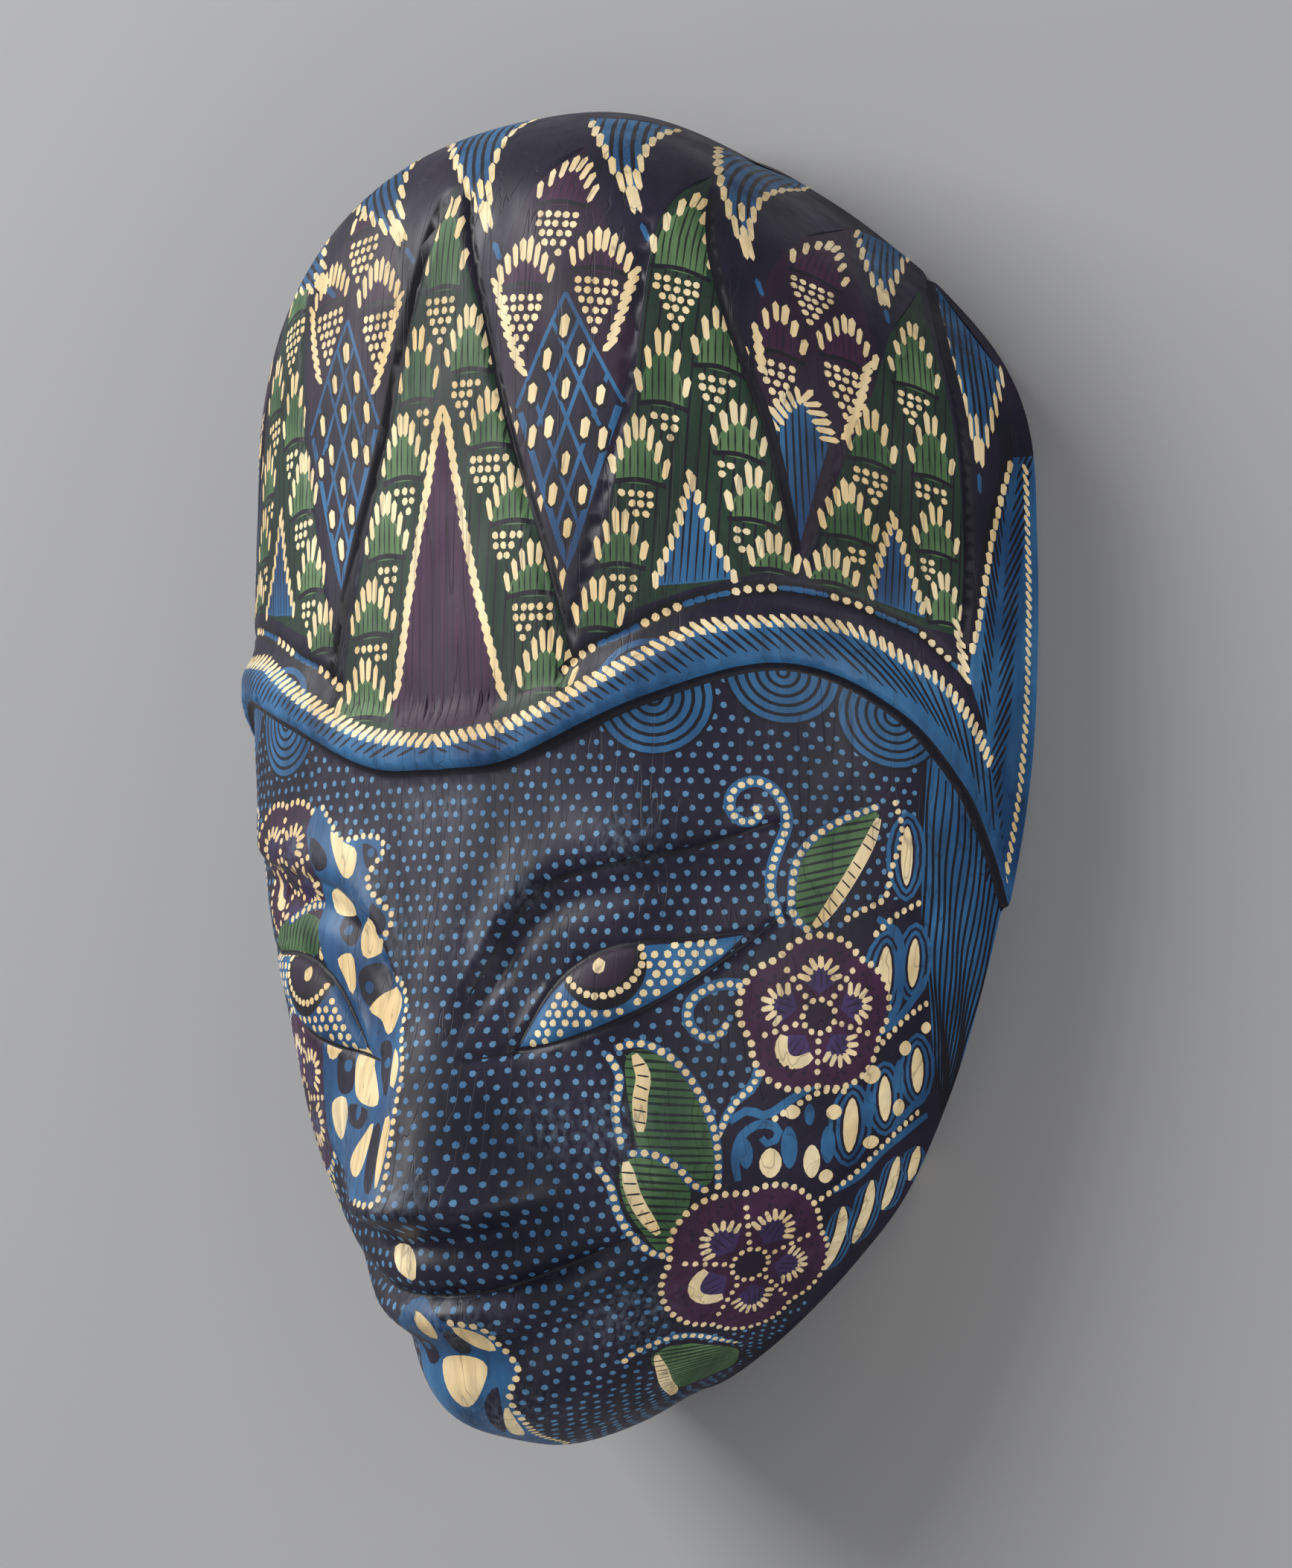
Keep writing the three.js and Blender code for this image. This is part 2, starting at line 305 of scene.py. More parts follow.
# Radii of the pattern's dots, and the width of its drawn ink lines.
FINE_DOT, SMALL_DOT, ROUND_DOT, SCALE_DOT, CORD_DOT, GROUND_DOT = 0.72, 0.78, 0.8, 0.83, 0.95, 0.7
FEATHER, BAND_LINE, HAIR_LINE = 0.75, 0.72, 0.85


def smooth(points, step=1.6, closed=False):
    """A curve through the points, with a point about every step."""
    points = np.array(points, float)
    if closed:
        points = np.vstack([points[-1], points, points[0], points[1]])
        t_low, t_high = 1, len(points) - 2
    else:
        t_low, t_high = 0, len(points) - 1
    rough = spline(points, np.linspace(t_low, t_high, 12 * (t_high - t_low) + 1))
    length = np.r_[0, np.cumsum(np.linalg.norm(np.diff(rough, axis=0), axis=1))]
    count = max(int(round(length[-1] / step)), 3)
    even = np.linspace(0, length[-1], count + 1)
    curve = np.c_[np.interp(even, length, rough[:, 0]), np.interp(even, length, rough[:, 1])]
    return curve[:-1] if closed else curve


def straight(points, step=3.0):
    """The polyline through the points, with extra points no further apart than step."""
    points = np.array(points, float)
    out = [points[0]]
    for a, b in zip(points[:-1], points[1:]):
        count = max(int(np.ceil(np.linalg.norm(b - a) / step)), 1)
        out += [a + (b - a) * k / count for k in range(1, count + 1)]
    return np.array(out)


def places(line, pitch, start=0.5):
    """Centres along a line at an even pitch, and the line's direction there as an angle."""
    line = np.array(line, float)
    length = np.r_[0, np.cumsum(np.linalg.norm(np.diff(line, axis=0), axis=1))]
    at = np.arange(start * pitch, length[-1], pitch)
    x, y = np.interp(at, length, line[:, 0]), np.interp(at, length, line[:, 1])
    ahead = np.minimum(at + 0.5, length[-1])
    behind = np.maximum(at - 0.5, 0)
    dx = np.interp(ahead, length, line[:, 0]) - np.interp(behind, length, line[:, 0])
    dy = np.interp(ahead, length, line[:, 1]) - np.interp(behind, length, line[:, 1])
    return zip(x, y, np.arctan2(dy, dx))


def turned(shape, p, q, angle):
    """A shape turned about the origin and moved to a place."""
    c, s = math.cos(angle), math.sin(angle)
    return shape @ np.array([[c, s], [-s, c]]) + [p, q]


def area(outline, paint):
    return [(np.array(outline, float), paint)]


def blob(points, paint, step=1.8):
    return area(smooth(points, step, closed=True), paint)


def dot(p, q, radius, paint, sides=8):
    angle = np.arange(sides) * math.tau / sides + RANDOM.uniform(0, 1)
    size = radius * RANDOM.uniform(0.88, 1.12, sides)
    return area(np.c_[p + size * np.cos(angle), q + size * np.sin(angle)], paint)


def dash(p, q, angle, length, width, paint):
    """One brush stroke, rounded at its ends and a little uneven."""
    length, width = length * RANDOM.uniform(0.9, 1.1), width * RANDOM.uniform(0.88, 1.12)
    x = np.array([-0.5, -0.36, 0.3, 0.5, 0.3, -0.36]) * length
    y = np.array([0, 0.45, 0.55, 0, -0.55, -0.45]) * width
    return area(turned(np.c_[x, y], p, q, angle), paint)


def ribbon(line, width, paint, taper=0.0):
    """A stroke along a line, its ends narrowed by taper (0 is square, 1 is pointed)."""
    line = np.array(line, float)
    ahead = np.gradient(line, axis=0)
    ahead /= np.maximum(np.linalg.norm(ahead, axis=1, keepdims=True), 1e-9)
    side = np.c_[-ahead[:, 1], ahead[:, 0]]
    along = np.linspace(-1, 1, len(line))
    half = (width / 2 * (1 - taper * along ** 4))[:, None]
    return area(np.vstack([line + side * half, (line - side * half)[::-1]]), paint)


def dots_along(line, pitch, radius, paint):
    return [s for p, q, _ in places(line, pitch) for s in dot(p, q, radius, paint)]


def dashes_along(line, pitch, length, width, lean, paint):
    """Strokes side by side along a line; lean is each stroke's angle to the line."""
    shapes = []
    for p, q, angle in places(line, pitch):
        shapes += dash(p, q, angle + lean + RANDOM.uniform(-0.06, 0.06), length, width, paint)
    return shapes


def mirror(shapes, middle=0.0):
    return [(np.c_[2 * middle - o[:, 0], o[:, 1]], paint) for o, paint in shapes]


def both(shapes, middle=0.0):
    return shapes + mirror(shapes, middle)


def inside(outline, points):
    """Which points lie inside a closed outline."""
    x, y = points[:, 0], points[:, 1]
    result = np.zeros(len(points), bool)
    for (ax, ay), (bx, by) in zip(outline, np.roll(outline, -1, axis=0)):
        crosses = (ay > y) != (by > y)
        slope = (bx - ax) / (by - ay if by != ay else 1e-12)
        result ^= crosses & (x < ax + (y - ay) * slope)
    return result


def hatch(outline, angle, pitch, width, paint, wobble=0.12, inset=0.4, start=0.5):
    """Strokes across an outline, side by side at an angle, cut at its edge."""
    outline = np.array(outline, float)
    c, s = math.cos(angle), math.sin(angle)
    along = outline @ [c, s]
    across = outline @ [-s, c]
    shapes = []
    for level in np.arange(across.min() + start * pitch, across.max(), pitch):
        level += RANDOM.uniform(-wobble, wobble) * pitch
        cuts = []
        for k in range(len(outline)):
            a, b = across[k - 1] - level, across[k] - level
            if (a > 0) != (b > 0):
                cuts.append(along[k - 1] + (along[k] - along[k - 1]) * a / (a - b))
        cuts.sort()
        for low, high in zip(cuts[::2], cuts[1::2]):
            low, high = low + inset, high - inset
            if high - low < 2 * width:
                continue
            count = max(int((high - low) / 6), 2)
            t = np.linspace(low, high, count + 1)
            line = np.c_[t * c - level * s, t * s + level * c]
            shapes += ribbon(line, width, paint, taper=0.6)
    return shapes


# ---------------------------------------------------------------- the headdress

def scale(p, q, width, height, paint, strokes="moss"):
    """A pointed scale: its body and the fan of dashes over it."""
    half = width / 2
    arch = [[-half, 0], [-0.46 * width, 0.5 * height], [-0.2 * width, 0.88 * height],
            [0, height], [0.2 * width, 0.88 * height], [0.46 * width, 0.5 * height], [half, 0]]
    body = smooth(arch, 1.6) + [p, q]
    shapes = area(body, paint)
    shapes += hatch(body, math.pi / 2, 1.5, 0.45, strokes, inset=0.9)
    shapes += ribbon(smooth([[p - half - 1, q], [p, q + 0.9], [p + half + 1, q]], 2), 1.1, "ink")
    reach = half + 1.7
    count = max(int(round(reach / 1.9)), 3)
    for side in (-1, 1):
        for k in range(count):
            share = (k + 0.48) / count
            y = height + 2.4 - (height + 0.6) * share ** 1.5
            lean = math.pi / 2 - side * (0.05 + 0.16 * share)
            shapes += dash(p + side * reach * share, q + y, lean, 5.9 - 1.2 * share, 1.4, "cream")
    return shapes


def reach_of_scale(p, q, width, height):
    """The outline of a scale with its fan, which no dots may cross."""
    half = width / 2
    return np.array([[p - half - 3, q - 1], [p - half - 2.4, q + 0.5 * height + 3],
                     [p - 1.5, q + height + 6.2], [p + 1.5, q + height + 6.2],
                     [p + half + 2.4, q + 0.5 * height + 3], [p + half + 3, q - 1]])


def dot_cluster(p, q, width, kept_free, pitch=2.1):
    """An inverted triangle of dots, less those that would fall on the outlines kept free."""
    shapes = []
    count = max(int(round(width / pitch)), 3)
    for row in range(count + 1):
        here = count - max(row - 1, 0)
        for k in range(here):
            x = p + (k - (here - 1) / 2) * pitch + RANDOM.uniform(-0.2, 0.2)
            y = q - row * pitch
            if not any(inside(outline, np.array([[x, y]]))[0] for outline in kept_free):
                shapes += dot(x, y, SCALE_DOT, "cream", 7)
    return shapes


def scale_rows(with_dots, paint, strokes, plain=()):
    """Scales, each given as its place, width and height, and the dots under the first ones."""
    rows = [*with_dots, *plain]
    shapes = [s for row in rows for s in scale(*row, paint, strokes)]
    kept_free = [reach_of_scale(*row) for row in rows]
    for p, q, width, _ in with_dots:
        shapes += dot_cluster(p - 0.5, q - 2.1, width * 0.86, kept_free)
    return shapes


def leaf_ground(outline, paint):
    return area(straight(outline, 5), paint) + hatch(outline, 1.5, 2.6, 0.5, "ink", inset=1)


LEAF_EDGES = [
    [[3, 120], [12, 88], [17, 70], [25, 48], [33, 22]],
    [[57, 130], [64, 105], [70, 88], [75, 75], [80, 50]],
    [[113, 138], [117, 115], [121, 85], [121, 60], [119, 35]],
]


def middle_leaf():
    shapes = leaf_ground([[-1, 124], [6, 104], [12, 88], [17, 70], [25, 48], [33, 22], [26, 12],
                          [0, 8], [-22, 10], [-31, 15], [-26, 36], [-20, 56], [-14, 80], [-9, 102]],
                         "leaf_dark")
    shapes += scale_rows([
        [-0.5, 100, 9, 17], [7, 82, 10, 10], [-7, 77, 9, 12], [13, 66, 11, 8], [-11, 61, 10, 10],
        [19, 50, 11, 8], [-16, 45, 10, 10], [24, 35, 12, 7], [-20, 29, 11, 8],
    ], "leaf", "moss", [[27, 15, 12, 9], [-22, 11.5, 13, 9]])
    heart = [[0, 72], [5, 53], [9, 38], [13, 21], [15.5, 14], [14, 9.5], [1, 8.5], [-12, 9.5],
             [-14, 15], [-10, 32], [-6, 50]]
    shapes += area(straight(heart, 4), "plum")
    shapes += hatch(heart, 1.57, 1.9, 0.4, "plum_dark", inset=1.5)
    for side, low in ((-1, 13), (1, 16)):
        line = smooth([[side * 0.8, 75], [side * 4.3, 58], [side * 8.5, 40], [side * low, 15]], 3)
        shapes += dashes_along(line, 2.5, 5.2, 1.35, 0.3 * side, "cream")
    return shapes


def side_leaf():
    shapes = leaf_ground([[54, 137], [60, 118], [64, 105], [70, 88], [75, 75], [81, 46], [60, 38],
                          [34, 27], [40, 45], [43, 60], [47, 78], [49, 100], [50, 118]], "leaf_dark")
    shapes += scale_rows([
        [56, 106, 11, 18], [53, 76, 9, 12], [65, 86, 9, 10], [69, 68, 9, 8], [48, 59, 10, 10],
        [72, 54, 9, 9], [44, 41, 9, 8],
    ], "leaf", "moss", [[39, 27.5, 9, 7], [76, 43.5, 8, 5]])
    return shapes + small_spear([[51, 37.5], [56, 50], [59, 62], [63, 50], [68, 41], [60, 39]])


def outer_leaf():
    shapes = leaf_ground([[110, 131], [114, 115], [119, 85], [120, 60], [118, 37], [105, 38],
                          [85, 42], [86, 58], [92, 76], [98, 92], [103, 112]], "leaf_dark")
    shapes += scale_rows([
        [108.5, 97, 10, 17], [97.5, 75, 9, 9], [112, 76, 9, 12], [92, 55, 10, 10],
        [112.5, 57, 9, 9],
    ], "leaf", "moss", [[88, 43, 9, 5], [114, 39, 7, 10]])
    return shapes + small_spear([[96, 42], [99, 54], [102, 64], [105, 54], [109, 40], [102, 41]])


def small_spear(outline):
    """A narrow blue triangle at the foot of a leaf, with dashes up both its sides."""
    shapes = area(straight(outline, 3), "blue") + hatch(outline, 1.5, 1.5, 0.5, "ink")
    for line, lean in ((outline[:3], 0.25), (outline[2:5], -0.25)):
        shapes += dashes_along(straight(line, 2), 3.0, 3.8, 1.25, lean * 1.8, "cream")
    return shapes


def lattice_diamond():
    """A dark diamond with a blue trellis, and a cream drop in each cell."""
    top, right, foot, left = (31, 98), (44.5, 76), (32, 39), (19.5, 74)
    corners = np.array([top, right, foot, left], float)
    shapes = area(straight(np.vstack([corners, corners[:1]])[:-1], 4), "night")
    for share in (0.0, 0.25, 0.5, 0.75):
        for a, b, c, d in ((top, left, right, foot), (top, right, left, foot)):
            start = np.array(a) + (np.array(b) - a) * share
            end = np.array(c) + (np.array(d) - c) * share
            shapes += ribbon(straight([start, end], 4), 0.9, "blue")
    shapes += ribbon(straight([[20.5, 73], [32, 41], [43.5, 75]], 4), 1.5, "blue")
    for p, q in ((31, 91), (27, 84), (35, 85), (23.5, 77), (31.5, 78), (39.5, 77), (27.5, 70),
                 (36, 70), (23.5, 68), (31.5, 62.5), (40, 68), (28.5, 56), (35.5, 56), (32, 49)):
        shapes += dash(p, q, math.pi / 2 - 0.15, 6.5, 3.2, "ink")
        shapes += dash(p, q, math.pi / 2 - 0.15, 4.8, 1.8, "cream")
    return shapes


def plum_crown(rows, outer_lines):
    """Purple scales that stand over a diamond, with dashes down its outer sides."""
    shapes = scale_rows(rows, "plum", "plum_dark")
    for line, lean in outer_lines:
        shapes += dashes_along(straight(line, 3), 2.4, 4.6, 1.3, lean, "cream")
    return shapes


def first_diamond():
    back = [[27, 134], [34, 122], [45, 104], [47, 88], [32, 38], [18, 72], [13, 100], [20, 122]]
    shapes = area(straight(back, 5), "plum_dark")
    shapes += lattice_diamond()
    shapes += plum_crown([[28, 117, 11, 9], [21, 99, 11, 6], [38.5, 103, 11, 5]],
                         [([[13.5, 101], [17, 90], [21.5, 80]], 0.45),
                          ([[46.5, 105], [44, 95], [41, 86]], -0.45)])
    return shapes


def second_diamond():
    back = [[83, 149], [92, 128], [99, 108], [98, 90], [82, 48], [72, 84], [73, 106], [78, 130]]
    shapes = area(straight(back, 5), "plum_dark")
    shapes += plum_crown([[84.5, 117, 11, 14], [77.5, 93, 9, 9], [92.5, 97, 11, 9]],
                         [([[97.5, 100], [95, 88], [92, 80]], -0.4),
                          ([[72.5, 98], [74, 88]], 0.4)])
    drop = [[75.5, 80], [82, 85], [88.5, 79], [85, 66], [81.5, 52], [79, 64]]
    shapes += area(straight(drop, 3), "blue") + hatch(drop, 1.6, 1.5, 0.55, "ink")
    shapes += dashes_along(smooth([[75.5, 77], [79, 83], [83, 86], [86, 82], [88.5, 77]], 2),
                           1.9, 4.6, 1.25, 1.3, "cream")
    return shapes


# Each striped spear hangs from the back edge: left top, tip, right top, and its side strokes.
SPEARS = [
    [[-18, 146], [11, 112], [-2, 160]],
    [[17, 150], [45, 118], [31, 160]],
    [[38, 163], [70, 115], [56, 176]],
    [[84, 150], [101, 120], [104, 146]],
    [[114, 136], [125, 84], [136, 112]],
    [[-42, 132], [-13, 112], [-26, 146]],
    [[-66, 118], [-38, 108], [-50, 131]],
]


def spear(left, tip, right):
    """A blue striped triangle with long cream dashes stepping up both its sides."""
    left, tip, right = (np.array(x, float) for x in (left, tip, right))
    outline = straight([left, tip, right], 4)
    axis = (left + right) / 2 - tip
    lean = math.atan2(axis[1], axis[0])
    shapes = area(outline, "blue") + hatch(outline, lean, 2.1, 0.9, "ink")
    for top in (left, right):
        edge = top - tip
        turn = abs(edge[0] * axis[1] - edge[1] * axis[0]) / np.hypot(*edge) / np.hypot(*axis)
        for p, q, _ in places(straight([tip, top]), min(max(1.9 / turn, 3.4), 5.6), 0.6):
            shapes += dash(p, q, lean + RANDOM.uniform(-0.04, 0.04), 7.2, 1.3, "cream")
    for share in (0.1, 0.24):
        shapes += dash(*(tip + axis * share), lean, 7.0, 1.3, "cream")
    shapes += dash(*(tip - axis * 0.12), lean, 5, 1.3, "blue")
    return shapes


BAND_TOP = [[0, 6], [20, 9], [38, 17], [50, 23.5], [60, 29], [70, 31.5], [83, 33.5], [95, 33],
            [105, 28], [112, 25], [120, 17], [127, 6]]
CORD = [[30, 19], [37, 24], [45, 27.5], [56, 33.5], [66, 37.5], [77, 40.5], [90, 40.5],
        [101, 38], [108, 36], [112, 33], [120, 27]]


def brow_band():
    """The blue band over the brows, its slanted strokes, the dashes along its top and a painted shadow
    under its lower edge.
    """
    top, low = smooth(BAND_TOP, 3), smooth(BAND_LOW, 3)
    low = np.vstack([low[low[:, 0] < 134], [BAND_LOW[-1]]])
    shapes = area(np.vstack([low, top[::-1]]), "blue")
    gap = 1.2
    for p, q, angle in places(top, 0.25):
        heading = -np.interp(p, [0, 30, 85, 105, 122], [0.3, 0.55, 0.75, 1.05, 1.4])
        gap += 0.25 * abs(math.sin(angle - heading))
        if gap > (1.65 if p < 88 else 2.0):
            gap = 0.0
            shapes += band_stroke(p, q - 1.6, heading)
    # Painted shadow: a dark strip just under the band's lower edge, where its carved step casts shade.
    shapes += ribbon(low - [0, 0.3], 1.7, "ink", 0.3)
    shapes += dashes_along(top, 2.3, 4.2, 1.3, -0.95, "cream")
    return shapes


def band_stroke(p, q, heading):
    """A dark stroke from the band's top towards its lower edge."""
    reach = 2.0
    step = np.array([math.cos(heading), math.sin(heading)])
    margin = 2.6 + RANDOM.uniform(0, 1.6)
    while reach < 17 and q + step[1] * reach > height_at(BAND_LOW, p + step[0] * reach) + margin:
        reach += 0.5
    return ribbon(straight([[p, q], [p, q] + step * reach], 3), BAND_LINE, "ink", 0.6)


def cord():
    """The line above the band: short rows of dots between long blue dashes."""
    line = smooth(CORD, 1.5)
    shapes = ribbon(line, 3.4, "ink", 0.3)
    for k, (p, q, angle) in enumerate(places(line, 2.6)):
        if (k // 4) % 2:
            shapes += dash(p, q, angle, 2.9, 1.2, "blue")
        else:
            shapes += dot(p, q, CORD_DOT, "cream", 7)
    return shapes


FLANGE_EDGE = [[125.5, 14], [122.5, 21], [120.5, 27], [121, 33], [123, 40], [125, 50],
               [128, 65], [132, 78], [136, 88]]


def rim_line(q_from, q_to, inset, step=3.0):
    """A line that runs beside the back edge on the wearer's left, inset from it."""
    q = np.linspace(q_from, q_to, max(int(abs(q_to - q_from) / step), 2))
    return np.c_[half_length(q) - inset, q]


def flange():
    """The side of the headdress: a blue wing, feathered with dark strokes."""
    rim = rim_line(90, -30, -2.0)
    outline = np.vstack([FLANGE_EDGE, rim, [[130, -20], [124, -8], [118, 1], [114, 8]]])
    shapes = area(outline, "blue")
    spine = smooth([[124, -6], [127, 12], [128.5, 30], [130.5, 50], [134, 70], [138, 88]], 2)
    for p, q, angle in places(spine, 4.2):
        shapes += dash(p - 2.4, q + 5, angle + 0.3, 12, FEATHER, "ink")
        shapes += dash(p + 3.9, q + 5, angle - 0.36, 15, FEATHER, "ink")
    for p, q, angle in places(smooth([[128, -24], [126, -12], [125, -2]], 2), 3.4):
        shapes += dash(p + 4, q + 2, angle - 0.5, 11, FEATHER, "ink")
    shapes += ribbon(straight(FLANGE_EDGE[1:], 3) - [1.6, 0], 2.0, "ink", 0.6)
    shapes += dashes_along(straight(FLANGE_EDGE[3:]), 3.3, 3.2, 1.7, 0.2, "cream")
    shapes += dashes_along(straight([[119.5, 26], [117.5, 40]]), 3.0, 6, 1.5, 0.5, "cream")
    shapes += dashes_along(rim_line(87, -27, 3.4), 2.6, 3.2, 1.2, 0.6, "cream")
    return shapes


def headdress():
    shapes = []
    for draw in (first_diamond, second_diamond, side_leaf, outer_leaf):
        shapes += left_copy(draw())
    for draw in (first_diamond, second_diamond, side_leaf, outer_leaf, middle_leaf):
        shapes += draw()
    for corners in SPEARS:
        shapes += spear(*corners)
    for line in LEAF_EDGES:
        # A dark strip along each leaf's carved edge, set a little to one side: dark ground between the
        # leaves and painted shadow of the gouge.
        shapes += both(ribbon(smooth(line, 4) + [0.8, 0], 2.6, "ink", 0.2))
    shapes += both(cord()) + both(flange()) + both(brow_band())
    return shapes


def left_copy(shapes):
    """The wearer's right side of the headdress is the same design drawn a little closer."""
    return [(outline * [-LEFT_CROWD, 1], paint) for outline, paint in shapes]


LEFT_CROWD = 0.93

# ---------------------------------------------------------------- the face


def ground_dots(covers, pitch=3.2):
    """Rows of small blue dots over the bare dark ground of the face."""
    rows = np.arange(-190, 26, pitch * 0.87)
    spots = []
    for k, q in enumerate(rows):
        p = np.arange(-112, 112, pitch) + (k % 2) * pitch / 2
        spots.append(np.c_[p, np.full(len(p), q)])
    spots = np.vstack(spots)
    spots += RANDOM.uniform(-0.42, 0.42, spots.shape)
    p, q = spots.T
    keep = (q < height_at(BAND_LOW, p) - 1.5) & (np.abs(p) < half_length(q) - 4)
    keep &= np.abs(p) < np.interp(-q, [0, 40, 52, 66, 79, 200], [108, 108, 111, 114, 119, 119])
    for outline in covers:
        keep &= ~inside(outline, spots)
    shapes = []
    for p, q in spots[keep]:
        shapes += dot(p, q, GROUND_DOT, "sky", 6)
    return shapes


FANS = [(51, 14.5, 12.8), (77.5, 21.5, 12), (101.5, 14.5, 13.2)]


def scallops():
    """Fans of concentric arcs below the band, whose upper halves it covers."""
    shapes = []
    for p, q, radius in FANS:
        for k in range(6):
            size = radius - 2.1 * k
            for r, paint in ((size, "ink"), (size - 0.75, "blue")):
                if r > 0.5:
                    angle = np.linspace(0, math.tau, 29)[:-1] + 0.05 * k
                    circle = np.c_[p + r * 1.02 * np.cos(angle), q + r * np.sin(angle)]
                    shapes += area(circle, paint)
    return shapes


def hair():
    """The hair at the temple: wavy dark lines down a blue strip."""
    q = np.linspace(6, -82, 30)
    inner = np.interp(-q, [-6, 20, 40, 52, 66, 82], [110, 109.5, 110.5, 113, 116.5, 122])
    outer = np.minimum(half_length(q), 139)
    shapes = area(np.vstack([np.c_[inner, q], np.c_[outer + 2, q][::-1]]), "blue")
    count = 13
    for k in range(count):
        share = (k + 0.5) / count
        wave = 0.35 * np.sin(q * 0.22 + k)
        line = np.c_[inner + (outer - inner) * share + wave, q]
        shapes += ribbon(line[k % 3:], HAIR_LINE, "ink", 0.5)
    shapes += ribbon(np.c_[inner - 0.5, q], 1.3, "ink")
    return shapes


EYE_LID = [[20, -57.5], [24, -51.5], [28, -46], [33, -41.5], [40, -38], [48, -36.5], [58, -36.3],
           [70, -35.3]]
EYE_FOOT = [[12, -59.5], [21, -58], [30, -56.5], [41, -53.5], [51, -49], [61, -43.3],
            [70, -37.5], [79, -30.5]]


def painted_eye():
    white = [[21, -57], [25, -51], [29, -46.3], [34, -42.3], [41, -38.6], [50, -37.2], [60, -37],
             [69, -36], [64, -40.8], [56, -46], [47, -50.3], [38, -53.8], [29, -56.4]]
    shapes = area(straight(white, 4), "blue")
    spots = []
    for k, q in enumerate(np.arange(-56.3, -36.5, 1.9)):
        spots += [[p + (k % 2) * 1.25, q] for p in np.arange(22, 68, 2.55)]
    spots = np.array(spots) + RANDOM.uniform(-0.2, 0.2, (len(spots), 2))
    keep = inside(smooth([[22, -56.5], [30, -47], [36, -43], [50, -38.2], [66, -37.2], [56, -45],
                          [40, -52], [28, -56]], 4, closed=True), spots)
    keep &= np.hypot(spots[:, 0] - 40, (spots[:, 1] + 41) * 1.05) > 9.6
    for p, q in spots[keep]:
        shapes += dot(p, q, ROUND_DOT, "cream", 7)
    shapes += blob([[31.5, -43.5], [35, -40], [41, -37.6], [47, -37.2], [49.5, -40], [48.5, -45],
                    [44.5, -49], [39, -50], [34.5, -47.5]], "ink")
    shapes += blob([[33.5, -42.5], [39, -38.5], [46.5, -37.8], [47, -41], [44, -44.6], [39, -45.5],
                    [35.5, -44.5]], "plum_dark")
    shapes += dots_along(smooth([[32.5, -43], [35, -45.6], [39, -47.2], [43.5, -46.4],
                                 [47, -43.8], [48.8, -40], [48.3, -37.6]], 1), 1.75, SMALL_DOT, "cream")
    shapes += dot(39.7, -41, 1.45, "cream", 10)
    for line, width in ((EYE_LID, 1.0), (EYE_FOOT, 1.0)):
        shapes += ribbon(smooth(line, 2.5), width, "ink", 0.7)
    return shapes


def spiral(points):
    """A blue stem with a row of cream dots along it."""
    line = smooth(points, 1.2)
    return ribbon(line, 2.5, "blue", 0.4) + dots_along(line, 1.95, 0.74, "cream")


def petal(p, q, radius, middle, solid):
    """One petal's violet heart, the arc of dashes round it and the specks outside the arc."""
    fan = np.linspace(-0.46, 0.46, 9) + middle
    reach = radius * (0.5 + 0.2 * np.cos((fan - middle) * 3.3))
    arc = np.c_[p + reach * np.cos(fan), q + reach * np.sin(fan)]
    foot = [p + 0.3 * radius * math.cos(middle), q + 0.3 * radius * math.sin(middle)]
    shapes = area(np.vstack([arc, [foot]]), "violet")
    shapes += hatch(np.vstack([arc, [foot]]), middle, 1.5, 0.35, "plum_dark", inset=0.8)
    if solid:
        shapes += ribbon(smooth(arc, 1.5), 2.9, "cream", 0.4)
    else:
        shapes += dashes_along(smooth(arc, 1), 1.75, 3.1, 1.15, math.pi / 2, "cream")
    for _ in range(12):
        away, side = RANDOM.uniform(0.76, 0.88) * radius, RANDOM.uniform(-0.45, 0.45) + middle
        place = p + away * math.cos(side), q + away * math.sin(side)
        shapes += dot(*place, 0.5, "plum_dark", 5)
    return shapes


def flower(p, q, radius, turn):
    """Five petals edged and parted by rows of dots, round a ringed centre."""
    petals = 5
    angle = np.linspace(0, math.tau, 61)[:-1]
    edge = radius * (0.9 + 0.14 * np.abs(np.sin(petals / 2 * (angle - turn))) ** 0.8)
    outline = np.c_[p + edge * np.cos(angle), q + edge * np.sin(angle)]
    closed = np.vstack([outline, outline[:1]])
    shapes = area(outline, "plum") + ribbon(closed, 1.9, "blue")
    for k in range(petals):
        start = turn + k * math.tau / petals
        shapes += petal(p, q, radius, start + math.pi / petals, k == 2)
        ray = np.array([math.cos(start), math.sin(start)])
        line = straight([[p, q] + ray * radius * 0.26, [p, q] + ray * radius * 0.86], 2)
        shapes += dots_along(line, 2.3, FINE_DOT, "cream")
    heart = radius * 0.22
    circle = np.c_[p + heart * np.cos(angle), q + heart * np.sin(angle)]
    shapes += area(circle[::4], "plum_dark")
    shapes += dots_along(np.vstack([circle, circle[:1]]), 2.1, FINE_DOT, "cream")
    return shapes + dots_along(closed, 2.35, 0.82, "cream")


def leaf(outline, blade, vein_angle, dotted, blade_width=3.0):
    """A green leaf with dark veins, a cream blade cut into short pieces, and dotted edges."""
    edge = smooth(outline, 2.5, closed=True)
    shapes = area(edge, "leaf")
    shapes += hatch(edge, vein_angle, 1.75, 0.75, "moss", inset=0.3)
    shapes += ribbon(np.vstack([edge, edge[:1]]), 1.0, "ink")
    blade = smooth(blade, 1.5)
    shapes += ribbon(blade, blade_width, "cream", 0.6)
    for p, q, angle in places(blade, 2.4, 1.0):
        shapes += dash(p, q, angle + 1.35, blade_width * 0.95, 0.35, "ink")
    for line in dotted:
        line = smooth(line, 1.5)
        shapes += ribbon(line, 1.9, "blue", 0.3) + dots_along(line, 2.2, ROUND_DOT, "cream")
    return shapes


